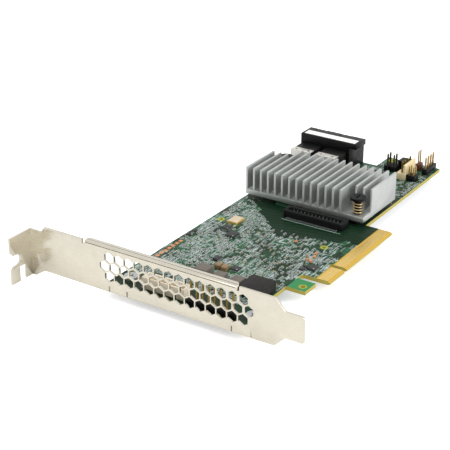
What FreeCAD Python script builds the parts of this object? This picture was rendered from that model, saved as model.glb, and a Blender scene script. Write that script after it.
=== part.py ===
"""A low-profile storage controller card on a full-height mounting bracket.

X runs along the board away from the bracket, Y runs up the bracket towards its screw tab, and Z
rises from the component face. The origin is at the centre of the card's footprint, at its foot.
Lengths in the feature functions are given from the bracket's outer face, the tip of its tongue
and the board's component face.
"""
import FreeCAD, Part
import os
import re
import Sketcher

Vector = FreeCAD.Vector
os.makedirs("parts", exist_ok=True)

# ---------------------------------------------------------------- driving sizes, in millimetres
SIZES = {
    # place of the card in its own frame
    "bracket_face_x": -78.61, "tongue_tip_y": -60.01,
    # mounting bracket: plate, tongue, screw tab, return lip, lugs and vents
    "plate_long": 120.02, "plate_wide": 18.42, "sheet": 0.86,
    "tongue_inset": 4.11, "tongue_long": 7.3, "tongue_round": 0.9,
    "crown_low_y": 112.2, "crown_high_y": 114.0, "tab_top": 16.1,
    "flare_low_y": 113.0, "flare_high_y": 117.5, "flare_drop": 2.9,
    "tab_deep": 11.43, "tab_slot_wide": 4.42, "tab_slot_deep": 2.9, "tab_slot_z": 6.4,
    "tab_slot_lead": 1.4, "tab_relief_near": 3.5, "tab_relief_wide": 3.4, "tab_relief_tall": 5.9,
    "lip_low_y": 26.9, "lip_long": 66.0, "lip_deep": 2.9, "lip_bend": 0.9,
    "lip_notch_wide": 1.2, "lip_notch_deep": 1.7,
    "lug_deep": 12.0, "lug_wide": 7.6, "lug_low_y": 20.9, "lug_high_y": 74.2, "lug_hole_x": 8.0,
    "lug_round": 1.5, "lug_slit": 0.5,
    "vent_pitch": 4.44, "vent_web": 0.52, "vent_row_z": 10.0, "vent_first_y": 21.9, "vent_count": 15,
    # bracket screws
    "screw_across": 2.8, "screw_head_across": 5.4, "screw_head_tall": 1.5, "screw_recess": 0.55,
    "screw_recess_long": 2.8, "screw_recess_deep": 0.8,
    # circuit board outline
    "board_thick": 1.57, "board_lift": 3.1, "board_near": 1.2, "board_far": 168.65,
    "board_low": 27.4, "board_high": 83.9, "heel_low": 20.3, "heel_far": 13.6,
    "hook_near": 34.4, "hook_far": 42.2, "hook_low": 19.3, "step_x": 156.8, "step_y": 52.8,
    "tongue_near": 46.0, "edge_low": 15.4, "edge_bevel": 1.2, "edge_bevel_rise": 0.45,
    "key_after": 11.15, "key_wide": 1.9, "key_deep": 7.3, "edge_long": 51.2,
    "edge_corner": 0.8, "hook_hole_x": 37.4, "hook_hole_y": 22.0, "hook_hole_across": 1.9,
    "lug_screw_hole_across": 3.4,
    "tool_hole_across": 1.5, "tool_hole_x": 70.2, "tool_hole_low_y": 31.5, "tool_hole_high_y": 79.4,
    "tool_hole_far_x": 165.6, "tool_hole_far_y": 49.7,
    # gold edge contacts
    "contact_pitch": 1.0, "contact_wide": 0.7, "contact_long": 4.0, "contact_thick": 0.06,
    "contact_inset": 0.22, "contact_short_count": 11, "contact_long_count": 38,
    # heat sink with its two spring pins
    "sink_front": 94.0, "sink_low": 27.1, "sink_deep": 28.9, "sink_wide": 55.5,
    "sink_lift": 2.2, "sink_base": 2.2, "fin_tall": 9.9, "fin_thick": 0.9, "fin_count": 17,
    "sink_corner": 7.1, "sink_corner_gap": 0.6, "pin_from_front": 3.6, "pin_from_side": 4.5,
    "pin_hole_across": 3.2, "pin_shank_across": 2.6, "pin_head_across": 6.5, "pin_head_tall": 1.1,
    "pin_barb_long": 2.2, "pin_barb_across": 3.9, "pin_tip_across": 1.7, "pin_split": 0.5,
    "pin_recess": 0.7, "spring_across": 4.2, "spring_wire": 0.45, "spring_tall": 6.0,
    "spring_turns": 3.0,
    # controller under the heat sink
    "substrate_side": 27.0, "substrate_tall": 1.1, "lid_side": 20.0, "lid_tall": 0.85,
    # cache memory on the solder side
    "memory_count": 5, "memory_x": 124.0, "memory_first_y": 30.4, "memory_pitch": 10.4,
    "memory_long": 13.3, "memory_wide": 9.0, "memory_tall": 1.1,
    # mezzanine socket in front of the heat sink
    "mezz_x": 86.2, "mezz_y": 32.4, "mezz_deep": 5.8, "mezz_wide": 27.6, "mezz_tall": 3.1,
    "mezz_well_deep": 2.6, "mezz_well_wide": 24.6, "mezz_well_floor": 0.8,
    "mezz_pin_count": 28, "mezz_pin_pitch": 0.85, "mezz_pin_wide": 0.3, "mezz_pin_out": 0.9,
    "mezz_pin_thick": 0.2, "mezz_blade_tall": 1.5,
    # internal storage ports and the guide block over them
    "port_x": 131.0, "port_low_y": 60.5, "port_pitch": 12.2, "port_wide": 9.9, "port_tall": 10.0,
    "port_long": 25.4, "port_wall": 0.75, "port_mouth_deep": 6.0, "port_slot_deep": 13.0,
    "port_slot_tall": 1.3, "port_slot_wide": 7.4, "port_slot_low": 3.1, "port_slot_rise": 3.6,
    "port_contact_count": 9, "port_contact_pitch": 0.75, "port_contact_wide": 0.3,
    "port_contact_thick": 0.15, "port_contact_long": 4.6,
    "plate_cover_deep": 3.4, "plate_cover_thick": 0.25, "plate_cover_hole": 1.1,
    "guide_x": 141.5, "guide_deep": 9.0, "guide_low_y": 55.7, "guide_wide": 27.9,
    "guide_slab_tall": 2.4, "guide_tall": 14.1, "guide_cheek": 1.3, "guide_far": 156.0,
    "latch_wide": 4.9, "latch_deep": 2.4, "label_deep": 4.0, "label_wide": 25.2,
    "label_thick": 0.1, "label_inset": 0.9,
    # pin headers
    "header_pitch": 2.54, "header_pin": 0.64, "header_tall": 2.5, "header_tail": 1.1,
    "fine_pitch": 2.0, "fine_pin": 0.5, "pin_point": 0.6, "tip_share": 0.4,
    "jumper_x": 154.6, "jumper_low_y": 43.4, "jumper_gap": 3.0, "jumper_pin_tall": 7.9,
    "key_header_x": 149.3, "key_header_y": 31.3, "key_header_pin_tall": 6.6,
    "tall_header_x": 161.9, "tall_header_y": 35.0, "tall_header_pin_tall": 9.5,
    "tall_header_base": 3.0,
    "end_header_x": 159.6, "end_header_y": 30.4, "end_header_pin_tall": 8.0,
    "service_x": 4.0, "service_low_y": 30.6, "service_pin_tall": 9.6, "service_count": 8,
    # cream friction-lock header and cream shrouded header
    "lock_x": 148.9, "lock_y": 36.6, "lock_count": 4, "lock_base_tall": 3.0, "lock_wall_tall": 7.2,
    "lock_deep": 4.3, "lock_wall_thick": 0.9, "lock_pin_tall": 8.3, "lock_margin": 1.3,
    "shroud_x": 4.4, "shroud_low_y": 51.6, "shroud_long": 19.0, "shroud_deep": 4.8,
    "shroud_tall": 4.6, "shroud_wall": 0.75, "shroud_floor": 1.4, "shroud_pin_count": 8,
    "shroud_pin_tall": 3.9,
    # alarm buzzer at the far end
    "buzzer_x": 158.7, "buzzer_y": 38.4, "buzzer_side": 5.0, "buzzer_tall": 3.8,
    "buzzer_hole_across": 1.3, "buzzer_hole_deep": 0.8,
    # power inductors
    "choke_x": 18.9, "choke_y": 28.4, "choke_long": 10.7, "choke_wide": 10.2, "choke_tall": 4.0,
    "choke_corner": 0.5, "choke_foot": 0.35,
    # oscillator can
    "clock_x": 68.4, "clock_y": 70.7, "clock_long": 6.5, "clock_wide": 5.0, "clock_base_tall": 0.8,
    "clock_lid_tall": 0.4, "clock_lid_inset": 0.35,
    # test pads
    "pad_count": 7, "pad_first_x": 28.3, "pad_pitch": 2.57, "pad_long": 1.7, "pad_wide": 1.5,
    "pad_y": 80.7, "pad_thick": 0.05,
    # small chip capacitors and resistors laid out in rows
    "chip_columns": 6, "chip_rows": 5, "chip_first_x": 41.0, "chip_first_y": 33.0,
    "chip_step_x": 5.9, "chip_step_y": 5.5, "capacitor_long": 1.6, "capacitor_wide": 0.8,
    "capacitor_tall": 0.8, "resistor_long": 1.0, "resistor_wide": 0.55, "resistor_tall": 0.35,
    "resistor_shift_x": 2.7, "resistor_shift_y": 2.9,
}

# Plain moulded packages on the component face: corner, length, width and height.
PACKAGES = {
    "power_inductor_near": (23.4, 55.3, 5.4, 5.6, 3.0),
    "power_inductor_middle": (22.7, 47.6, 4.2, 4.4, 3.0),
    "power_inductor_far": (21.9, 39.4, 4.3, 4.6, 3.6),
    "regulator_chip": (33.9, 48.2, 3.2, 3.2, 0.9),
    "power_switch_chip": (37.3, 59.4, 3.2, 2.2, 1.0),
    "monitor_chip": (62.3, 71.0, 3.5, 3.4, 0.9),
    "flash_chip": (57.4, 65.2, 4.4, 3.9, 1.0),
    "expander_chip": (49.9, 24.4, 3.5, 3.2, 1.0),
}
for package, spans in PACKAGES.items():
    for span, value in zip(("x", "y", "long", "wide", "tall"), spans):
        SIZES[f"{package}_{span}"] = value

# Tantalum capacitors stand side by side: corner, length, width and height of each.
TANTALS = {"bulk_capacitor_low": (31.4, 51.8, 3.0, 2.3, 1.9), "bulk_capacitor_high": (31.7, 54.9, 3.0, 2.3, 1.9)}
for tantal, spans in TANTALS.items():
    for span, value in zip(("x", "y", "long", "wide", "tall"), spans):
        SIZES[f"{tantal}_{span}"] = value

# Heights and places that follow from the driving sizes.
PLATE_LOW = "flare_drop"
BOARD_LOW = "(flare_drop + board_lift - board_thick)"
BOARD_TOP = "(flare_drop + board_lift)"
LUG_LEVEL = "(board_lift - board_thick - sheet)"
EDGE_FAR = "(tongue_near + edge_long)"
KEY_NEAR = "(tongue_near + key_after)"
SLOT_HALF = "((tongue_near - hook_far) / 2)"
VENT_RISE = "(vent_pitch * 0.866)"
VENT_HALF = "((vent_pitch - vent_web) / 2)"
FIN_PITCH = "((sink_wide - fin_thick) / (fin_count - 1))"
SINK_TOP = "(sink_lift + sink_base)"
CORNER_WIDE = f"(2 * {FIN_PITCH} + fin_thick + sink_corner_gap)"

# ------------------------------------------------------------------------ document and the sheet
doc = FreeCAD.newDocument("ControllerCard")
sheet = doc.addObject("Spreadsheet::Sheet", "Sizes")
for row, (alias, value) in enumerate(SIZES.items(), 1):
    sheet.set(f"A{row}", alias)
    sheet.set(f"B{row}", str(value))
    sheet.setAlias(f"B{row}", alias)
doc.recompute()
nodes = []


def cells(text):
    """The same expression with each alias written as a cell of the sheet."""
    return re.sub(r"[a-z][a-z_]*", lambda word: f"Sizes.{word[0]}" if word[0] in SIZES else word[0], text)


def bind(thing, name, text):
    thing.setExpression(name, cells(text))


def place(thing, x="0", y="0", z=BOARD_TOP):
    """Put a thing at a length from the bracket's face, a length from the tongue's tip and a height."""
    bind(thing, "Placement.Base.x", f"bracket_face_x + {x}")
    bind(thing, "Placement.Base.y", f"tongue_tip_y + {y}")
    bind(thing, "Placement.Base.z", z)
    return thing


def node(thing, label):
    thing.Label = label
    nodes.append(thing)
    return thing


# --------------------------------------------------------------------- sketches and their solids
def body(name, x="0", y="0", z=BOARD_TOP):
    new = doc.addObject("PartDesign::Body", name)
    new.AllowCompound = True
    return place(new, x, y, z)


def origin_plane(owner, plane):
    return next(f for f in owner.Origin.OriginFeatures if f.Role == f"{plane}_Plane")


def sketch(owner, name, plane="XY", offset="0"):
    """A sketch on one of the body's own planes, moved along that plane's normal."""
    new = owner.newObject("Sketcher::SketchObject", name)
    new.AttachmentSupport = [(origin_plane(owner, plane), "")]
    new.MapMode = "FlatFace"
    bind(new, "AttachmentOffset.Base.z", offset)
    return new


def fix(drawing, kind, line, end, text):
    number = drawing.addConstraint(Sketcher.Constraint(kind, line, end, 1.0))
    bind(drawing, f"Constraints[{number}]", text)


def polygon(drawing, corners):
    """A closed outline whose corners are each held by two bound lengths."""
    first = drawing.GeometryCount
    count = len(corners)
    for index in range(count):
        start = Vector(index, index * index, 0)
        drawing.addGeometry(Part.LineSegment(start, Vector(index + 1, (index + 1) ** 2, 0)), False)
    for index in range(count):
        following = first + (index + 1) % count
        drawing.addConstraint(Sketcher.Constraint("Coincident", first + index, 2, following, 1))
    for index, (across, up) in enumerate(corners):
        fix(drawing, "DistanceX", first + index, 1, across)
        fix(drawing, "DistanceY", first + index, 1, up)
    return drawing


def rectangle(drawing, across, up, wide, tall):
    right = f"{across} + {wide}"
    top = f"{up} + {tall}"
    return polygon(drawing, [(across, up), (right, up), (right, top), (across, top)])


def circle(drawing, across, up, width):
    """A circle whose centre and radius are bound."""
    number = drawing.addGeometry(Part.Circle(Vector(1, 1, 0), Vector(0, 0, 1), 1.0), False)
    fix(drawing, "DistanceX", number, 3, across)
    fix(drawing, "DistanceY", number, 3, up)
    radius = drawing.addConstraint(Sketcher.Constraint("Radius", number, 1.0))
    bind(drawing, f"Constraints[{radius}]", f"({width}) / 2")
    return drawing


def pad(owner, drawing, length, reverse=False):
    new = owner.newObject("PartDesign::Pad", f"{drawing.Name}_pad")
    new.Profile = drawing
    new.Reversed = reverse
    bind(new, "Length", length)
    return new


def pocket(owner, drawing, length=None, along_normal=True):
    """Cut a sketch out of the body, along its plane's normal unless told otherwise."""
    new = owner.newObject("PartDesign::Pocket", f"{drawing.Name}_cut")
    new.Profile = drawing
    new.Reversed = along_normal
    if length is None:
        new.Type = "ThroughAll"
    else:
        bind(new, "Length", length)
    return new


def repeat(owner, features, axis, pitch, count):
    """Copies of features in a straight line along their sketch's own axis."""
    new = owner.newObject("PartDesign::LinearPattern", f"{features[0].Name}_row")
    new.Originals = features
    new.Direction = (features[0].Profile[0], [axis])
    new.Mode = "Spacing"
    bind(new, "Offset", pitch)
    bind(new, "Occurrences", count)
    owner.Tip = new
    return new


def repeat_both_ways(owner, features, pitches, counts):
    """Copies along both of the sketch's axes; a single column or row needs no second direction."""
    new = repeat(owner, features, "H_Axis", pitches[0], counts[0])
    if counts[1] != "1":
        new.Direction2 = (features[0].Profile[0], ["V_Axis"])
        new.Mode2 = "Extent"
        bind(new, "Length2", f"({pitches[1]}) * ({counts[1]} - 1)")
        bind(new, "Occurrences2", counts[1])
    return new


def turned(owner, name, corners):
    """A solid of revolution about the body's own Z axis, from radius and height pairs."""
    outline = polygon(sketch(owner, name, "XZ"), corners)
    new = owner.newObject("PartDesign::Revolution", f"{name}_turn")
    new.Profile = outline
    new.ReferenceAxis = (outline, ["V_Axis"])
    new.Angle = 360.0
    return new


def edges_near(shape, wanted):
    """Names of the straight edges for which wanted(first point, last point) holds."""
    names = []
    for number, edge in enumerate(shape.Edges, 1):
        ends = [vertex.Point for vertex in edge.Vertexes]
        if len(ends) == 2 and wanted(*ends):
            names.append(f"Edge{number}")
    return names


def round_edges(owner, name, radius, wanted):
    """A fillet on the edges that the test picks from the body's newest feature."""
    doc.recompute()
    base = owner.Tip
    new = owner.newObject("PartDesign::Fillet", name)
    new.Base = (base, edges_near(base.Shape, wanted))
    bind(new, "Radius", radius)
    return new


# ----------------------------------------------------------------------- primitives and booleans
def block(name, x, y, z, long, wide, tall):
    new = place(doc.addObject("Part::Box", name), x, y, z)
    for side, text in (("Length", long), ("Width", wide), ("Height", tall)):
        bind(new, side, text)
    return new


def rod(name, x, y, z, width, tall):
    new = place(doc.addObject("Part::Cylinder", name), x, y, z)
    bind(new, "Radius", f"({width}) / 2")
    bind(new, "Height", tall)
    return new


def group(name, members):
    new = doc.addObject("Part::Compound", name)
    new.Links = members
    return new


def fused(name, members):
    new = doc.addObject("Part::MultiFuse", name)
    new.Shapes = members
    return new


def cut(name, base, tool):
    new = doc.addObject("Part::Cut", name)
    new.Base = base
    new.Tool = tool
    return new


# --------------------------------------------------------------------------------- the headers
# Each header: first pin's place, pins along X and along Y, pitch, pin side, base and pin heights.
HEADERS = {
    "jumper_header_low": ("jumper_x", "jumper_low_y", "2", "1", "header_pitch", "header_pin",
                          "header_tall", "jumper_pin_tall"),
    "jumper_header_high": ("jumper_x", "jumper_low_y + jumper_gap", "2", "1", "header_pitch",
                           "header_pin", "header_tall", "jumper_pin_tall"),
    "key_header": ("key_header_x", "key_header_y", "2", "2", "fine_pitch", "fine_pin",
                   "header_tall", "key_header_pin_tall"),
    "tall_header": ("tall_header_x", "tall_header_y", "2", "1", "fine_pitch", "fine_pin",
                    "tall_header_base", "tall_header_pin_tall"),
    "end_header": ("end_header_x", "end_header_y", "4", "1", "header_pitch", "header_pin",
                   "header_tall", "end_header_pin_tall"),
    "service_header": ("service_x", "service_low_y", "1", "service_count", "header_pitch",
                       "header_pin", "header_tall", "service_pin_tall"),
}
# Two moulded headers whose housings are made apart: the same values without a base height.
LOCK_PINS = ("lock_x", "lock_y", "lock_count", "1", "header_pitch", "header_pin", "lock_pin_tall")
SHROUD_PINS = ("shroud_x + shroud_deep / 2", "shroud_low_y + (shroud_long - 7 * fine_pitch) / 2", "1",
               "shroud_pin_count", "fine_pitch", "fine_pin", "shroud_pin_tall")


def pin_rows(name, x, y, columns, rows, pitch, side, tall):
    """Square posts with pointed tips that pass down through the board."""
    posts = body(name, x, y)
    foot = "-(board_thick + header_tail)"
    shank = rectangle(sketch(posts, f"{name}_post", offset=foot), f"-({side}) / 2", f"-({side}) / 2", side, side)
    shank_pad = pad(posts, shank, f"{tall} + board_thick + header_tail - pin_point")
    tip = posts.newObject("PartDesign::AdditiveWedge", f"{name}_tip")
    tip.AttachmentSupport = [(origin_plane(posts, "XZ"), "")]
    tip.MapMode = "FlatFace"
    for limit, text in (("Ymin", f"{tall} - pin_point"), ("Ymax", tall), ("Xmin", f"-({side}) / 2"),
                        ("Xmax", f"({side}) / 2"), ("Zmin", f"-({side}) / 2"), ("Zmax", f"({side}) / 2"),
                        ("X2min", f"-({side}) * tip_share / 2"), ("X2max", f"({side}) * tip_share / 2"),
                        ("Z2min", f"-({side}) * tip_share / 2"), ("Z2max", f"({side}) * tip_share / 2")):
        bind(tip, limit, text)
    repeat_both_ways(posts, [shank_pad, tip], (pitch, pitch), (columns, rows))
    return posts


def header_base(name, x, y, columns, rows, pitch, tall, pins):
    """The moulded strip that holds a header's pins, one pitch square about each."""
    strip = block(f"{name}_strip", f"{x} - ({pitch}) / 2", f"{y} - ({pitch}) / 2", BOARD_TOP,
                  f"({pitch}) * {columns}", f"({pitch}) * {rows}", tall)
    return cut(f"{name}_moulding", strip, pins)


def make_headers():
    for name, (x, y, columns, rows, pitch, side, base, tall) in HEADERS.items():
        pins = pin_rows(f"{name}_pins", x, y, columns, rows, pitch, side, tall)
        node(pins, f"{name}_pins")
        node(header_base(name, x, y, columns, rows, pitch, base, pins), f"{name}_base")


def make_lock_header():
    """A cream housing with a low base and one tall wall that a plug's catch rides over."""
    pins = node(pin_rows("lock_header_pins", *LOCK_PINS), "lock_header_pins")
    housing = body("lock_housing", "lock_x - lock_margin", "lock_y - lock_deep / 2")
    side = polygon(sketch(housing, "lock_side", "YZ"), [
        ("0", "0"), ("lock_deep", "0"), ("lock_deep", "lock_base_tall"),
        ("lock_wall_thick", "lock_base_tall"), ("lock_wall_thick", "lock_wall_tall - 0.8"),
        ("lock_wall_thick + 0.35", "lock_wall_tall - 0.5"), ("lock_wall_thick", "lock_wall_tall"),
        ("0", "lock_wall_tall")])
    pad(housing, side, "header_pitch * (lock_count - 1) + 2 * lock_margin")
    node(cut("lock_header_moulding", housing, pins), "lock_header_base")


def make_shroud_header():
    """A cream header behind the vents, with a wall all round its single row of pins."""
    pins = node(pin_rows("shroud_header_pins", *SHROUD_PINS), "shroud_header_pins")
    shroud = body("shroud_housing", "shroud_x", "shroud_low_y")
    pad(shroud, rectangle(sketch(shroud, "shroud_outer"), "0", "0", "shroud_deep", "shroud_long"), "shroud_tall")
    well = rectangle(sketch(shroud, "shroud_well", offset="shroud_floor"), "shroud_wall", "shroud_wall",
                     "shroud_deep - 2 * shroud_wall", "shroud_long - 2 * shroud_wall")
    pocket(shroud, well)
    node(cut("shroud_header_moulding", shroud, pins), "shroud_header_base")


# ----------------------------------------------------------------------------------- the board
def drill_for_pins(board):
    """One snug square hole for each header pin, repeated as the pins are."""
    rows = {name: header[:6] for name, header in HEADERS.items()}
    rows["lock_header"] = LOCK_PINS[:6]
    rows["shroud_header"] = SHROUD_PINS[:6]
    for name, (x, y, columns, lines, pitch, side) in rows.items():
        hole = rectangle(sketch(board, f"{name}_hole"), f"{x} - {side} / 2", f"{y} - {side} / 2", side, side)
        repeat_both_ways(board, [pocket(board, hole)], (pitch, pitch), (columns, lines))


def make_board():
    board = body("circuit_board", z=BOARD_LOW)
    outline = polygon(sketch(board, "board_outline"), [
        ("board_near", "heel_low"), ("heel_far", "heel_low"), ("heel_far", "board_low"),
        ("hook_near", "board_low"), ("hook_near", "hook_low"), ("hook_far", "hook_low"),
        ("hook_far", f"board_low - {SLOT_HALF}"), ("tongue_near", f"board_low - {SLOT_HALF}"),
        ("tongue_near", "edge_low"), (EDGE_FAR, "edge_low"), (EDGE_FAR, "board_low"),
        ("board_far", "board_low"), ("board_far", "step_y"), ("step_x", "step_y"),
        ("step_x", "board_high"), ("board_near", "board_high")])
    pad(board, outline, "board_thick")
    pocket(board, circle(sketch(board, "slot_end"), f"hook_far + {SLOT_HALF}", f"board_low - {SLOT_HALF}",
                         f"2 * {SLOT_HALF}"))
    key = rectangle(sketch(board, "key_notch"), KEY_NEAR, "edge_low - 1", "key_wide", "key_deep + 1 - key_wide / 2")
    pocket(board, key)
    pocket(board, circle(sketch(board, "key_end"), f"{KEY_NEAR} + key_wide / 2",
                         "edge_low + key_deep - key_wide / 2", "key_wide"))
    bevel = sketch(board, "edge_bevels", "YZ")
    polygon(bevel, [("edge_low - 1", "0 - 1"), ("edge_low + edge_bevel", "0 - 1"), ("edge_low + edge_bevel", "0"),
                    ("edge_low", "edge_bevel_rise"), ("edge_low - 1", "edge_bevel_rise")])
    polygon(bevel, [("edge_low - 1", "board_thick + 1"), ("edge_low - 1", "board_thick - edge_bevel_rise"),
                    ("edge_low", "board_thick - edge_bevel_rise"), ("edge_low + edge_bevel", "board_thick"),
                    ("edge_low + edge_bevel", "board_thick + 1")])
    pocket(board, bevel)
    holes = sketch(board, "drilled_holes")
    circle(holes, "hook_hole_x", "hook_hole_y", "hook_hole_across")
    for lug_y in ("lug_low_y", "lug_high_y"):
        circle(holes, "lug_hole_x", f"{lug_y} + lug_wide / 2", "lug_screw_hole_across")
    for x, y in (("tool_hole_x", "tool_hole_low_y"), ("tool_hole_x", "tool_hole_high_y"),
                 ("tool_hole_far_x", "tool_hole_far_y")):
        circle(holes, x, y, "tool_hole_across")
    for x, y in SPRING_PINS.values():
        circle(holes, x, y, "pin_hole_across")
    pocket(board, holes)
    drill_for_pins(board)
    node(board, "circuit_board")


def make_contacts():
    """Gold fingers: a short and a long field on each face of the edge."""
    fingers = body("edge_contacts", z=BOARD_LOW)
    fields = {"short": ("tongue_near", "contact_short_count"),
              "long": (f"{KEY_NEAR} + key_wide", "contact_long_count")}
    for face, level, downwards in (("top", "board_thick", False), ("back", "0", True)):
        for field, (start, count) in fields.items():
            finger = rectangle(sketch(fingers, f"{face}_{field}_finger", offset=level), f"{start} + contact_inset",
                               "edge_low + edge_bevel", "contact_wide", "contact_long")
            repeat(fingers, [pad(fingers, finger, "contact_thick", downwards)], "H_Axis", "contact_pitch", count)
    node(fingers, "edge_contacts")


def make_test_pads():
    """Bare copper test pads by the board's long edge."""
    copper = body("test_pads")
    first = rectangle(sketch(copper, "test_pad"), "pad_first_x", "pad_y", "pad_long", "pad_wide")
    repeat(copper, [pad(copper, first, "pad_thick")], "H_Axis", "pad_pitch", "pad_count")
    node(copper, "test_pads")


# --------------------------------------------------------------------------------- the bracket
def make_bracket():
    """Folded sheet: plate, screw tab, return lip and two lugs, with three rows of hexagonal vents."""
    bracket = body("mounting_bracket", z=PLATE_LOW)
    shoulder = "(tongue_long + tongue_inset)"
    plate = polygon(sketch(bracket, "plate_outline", "YZ"), [
        ("0", "tongue_inset"), ("tongue_long", "tongue_inset"), (shoulder, "0"), ("flare_low_y", "0"),
        ("flare_high_y", "-flare_drop"), ("plate_long", "-flare_drop"), ("plate_long", "tab_top"),
        ("crown_high_y", "tab_top"), ("crown_low_y", "plate_wide"), (shoulder, "plate_wide"),
        ("tongue_long", "plate_wide - tongue_inset"), ("0", "plate_wide - tongue_inset")])
    pad(bracket, plate, "sheet")
    tab = rectangle(sketch(bracket, "tab_outline", "XZ", "-plate_long"), "-tab_deep", "-flare_drop",
                    "tab_deep + sheet", "tab_top + flare_drop")
    pad(bracket, tab, "sheet")
    lip = rectangle(sketch(bracket, "lip_outline", "XY", "plate_wide"), "0", "lip_low_y", "lip_deep", "lip_long")
    pad(bracket, lip, "sheet", True)
    for name, lug_y in (("low_lug", "lug_low_y"), ("high_lug", "lug_high_y")):
        lug = rectangle(sketch(bracket, f"{name}_outline", "XY", LUG_LEVEL), "0", lug_y, "lug_deep", "lug_wide")
        pad(bracket, lug, "sheet")
        pocket(bracket, circle(sketch(bracket, f"{name}_hole"), "lug_hole_x", f"{lug_y} + lug_wide / 2",
                               "screw_across"))
    bracket_cuts(bracket)
    round_edges(bracket, "lug_rounds", "lug_round", lambda a, b: abs(a.x - b.x) < 1e-4 and abs(a.y - b.y) < 1e-4
                and abs(a.x - SIZES["lug_deep"]) < 1e-4)
    round_edges(bracket, "lip_rounds", "lug_round", lambda a, b: abs(a.x - SIZES["lip_deep"]) < 1e-4
                and abs(b.x - a.x) < 1e-4 and abs(a.y - b.y) < 1e-4)
    round_edges(bracket, "tongue_rounds", "tongue_round", lambda a, b: abs(a.y) < 1e-4 and abs(b.y) < 1e-4
                and abs(a.z - b.z) < 1e-4)
    round_edges(bracket, "lip_bend", "lip_bend", lambda a, b: abs(a.x) + abs(b.x) < 1e-4
                and abs(a.z - SIZES["plate_wide"]) + abs(b.z - SIZES["plate_wide"]) < 1e-4
                and SIZES["lip_low_y"] - 0.1 < min(a.y, b.y)
                and max(a.y, b.y) < SIZES["lip_low_y"] + SIZES["lip_long"] + 0.1)
    node(bracket, "mounting_bracket")


def bracket_cuts(bracket):
    """The tab's screw slot and relief, the notches beside lip and lugs, and the vents."""
    slot_low = "(tab_slot_z - tab_slot_wide / 2)"
    slot_high = "(tab_slot_z + tab_slot_wide / 2)"
    slot_end = "(-tab_deep + tab_slot_deep)"
    slot = polygon(sketch(bracket, "tab_slot", "XZ", "-plate_long"), [
        ("-tab_deep - 1", f"{slot_low} - tab_slot_lead - 1"), ("-tab_deep + tab_slot_lead", slot_low),
        (slot_end, slot_low), (slot_end, slot_high), ("-tab_deep + tab_slot_lead", slot_high),
        ("-tab_deep - 1", f"{slot_high} + tab_slot_lead + 1")])
    pocket(bracket, slot, "2 * sheet")
    pocket(bracket, circle(sketch(bracket, "tab_slot_end", "XZ", "-plate_long"), slot_end, "tab_slot_z",
                           "tab_slot_wide"), "2 * sheet")
    relief = rectangle(sketch(bracket, "tab_relief", "XZ", "-plate_long"), "-tab_relief_near - tab_relief_wide",
                       "-flare_drop - 1", "tab_relief_wide", "tab_relief_tall + 1")
    pocket(bracket, relief, "2 * sheet")
    notches = sketch(bracket, "lip_notches", "YZ")
    for notch_y in ("lip_low_y - lip_notch_wide", "lip_low_y + lip_long"):
        rectangle(notches, notch_y, "plate_wide - lip_notch_deep", "lip_notch_wide", "lip_notch_deep + 1")
    pocket(bracket, notches, "sheet")
    slits = sketch(bracket, "lug_slits", "YZ")
    for lug_y in ("lug_low_y", "lug_high_y"):
        for slit_y in (f"{lug_y} - lug_slit", f"{lug_y} + lug_wide"):
            rectangle(slits, slit_y, f"{LUG_LEVEL} - 0.3", "lug_slit", "sheet + 1.1")
    pocket(bracket, slits, "sheet")
    for row, rise, shift, count in (("low", "-1", "vent_pitch / 2", "vent_count - 1"),
                                    ("middle", "0", "0", "vent_count"),
                                    ("high", "1", "vent_pitch / 2", "vent_count - 1")):
        centre_y = f"(vent_first_y + {shift})"
        centre_z = f"(vent_row_z + {rise} * {VENT_RISE})"
        point = f"({VENT_HALF} / 0.866)"
        vent = polygon(sketch(bracket, f"{row}_vent", "YZ"), [
            (f"{centre_y} - {VENT_HALF}", f"{centre_z} - {point} / 2"), (centre_y, f"{centre_z} - {point}"),
            (f"{centre_y} + {VENT_HALF}", f"{centre_z} - {point} / 2"),
            (f"{centre_y} + {VENT_HALF}", f"{centre_z} + {point} / 2"), (centre_y, f"{centre_z} + {point}"),
            (f"{centre_y} - {VENT_HALF}", f"{centre_z} + {point} / 2")])
        repeat(bracket, [pocket(bracket, vent, "sheet")], "H_Axis", "vent_pitch", count)


def make_screws():
    """Two pan-head screws that clamp the board to the bracket's lugs."""
    screws = []
    for name, lug_y in (("low", "lug_low_y"), ("high", "lug_high_y")):
        y = f"{lug_y} + lug_wide / 2"
        head = rod(f"{name}_screw_head", "lug_hole_x", y, BOARD_TOP, "screw_head_across", "screw_head_tall")
        shank = rod(f"{name}_screw_shank", "lug_hole_x", y, f"{BOARD_LOW} - sheet", "screw_across",
                    "board_thick + sheet")
        floor = f"{BOARD_TOP} + screw_head_tall - screw_recess_deep"
        arms = [block(f"{name}_recess_x", "lug_hole_x - screw_recess_long / 2", f"{y} - screw_recess / 2", floor,
                      "screw_recess_long", "screw_recess", "screw_recess_deep"),
                block(f"{name}_recess_y", "lug_hole_x - screw_recess / 2", f"{y} - screw_recess_long / 2", floor,
                      "screw_recess", "screw_recess_long", "screw_recess_deep")]
        screws.append(cut(f"{name}_screw", fused(f"{name}_screw_blank", [head, shank]),
                          fused(f"{name}_recess", arms)))
    node(group("bracket_screw_pair", screws), "bracket_screws")


# ------------------------------------------------------------------ heat sink and what it cools
SPRING_PINS = {
    "front": ("sink_front + pin_from_front", "sink_low + pin_from_side"),
    "rear": ("sink_front + sink_deep - pin_from_front", "sink_low + sink_wide - pin_from_side"),
}


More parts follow.
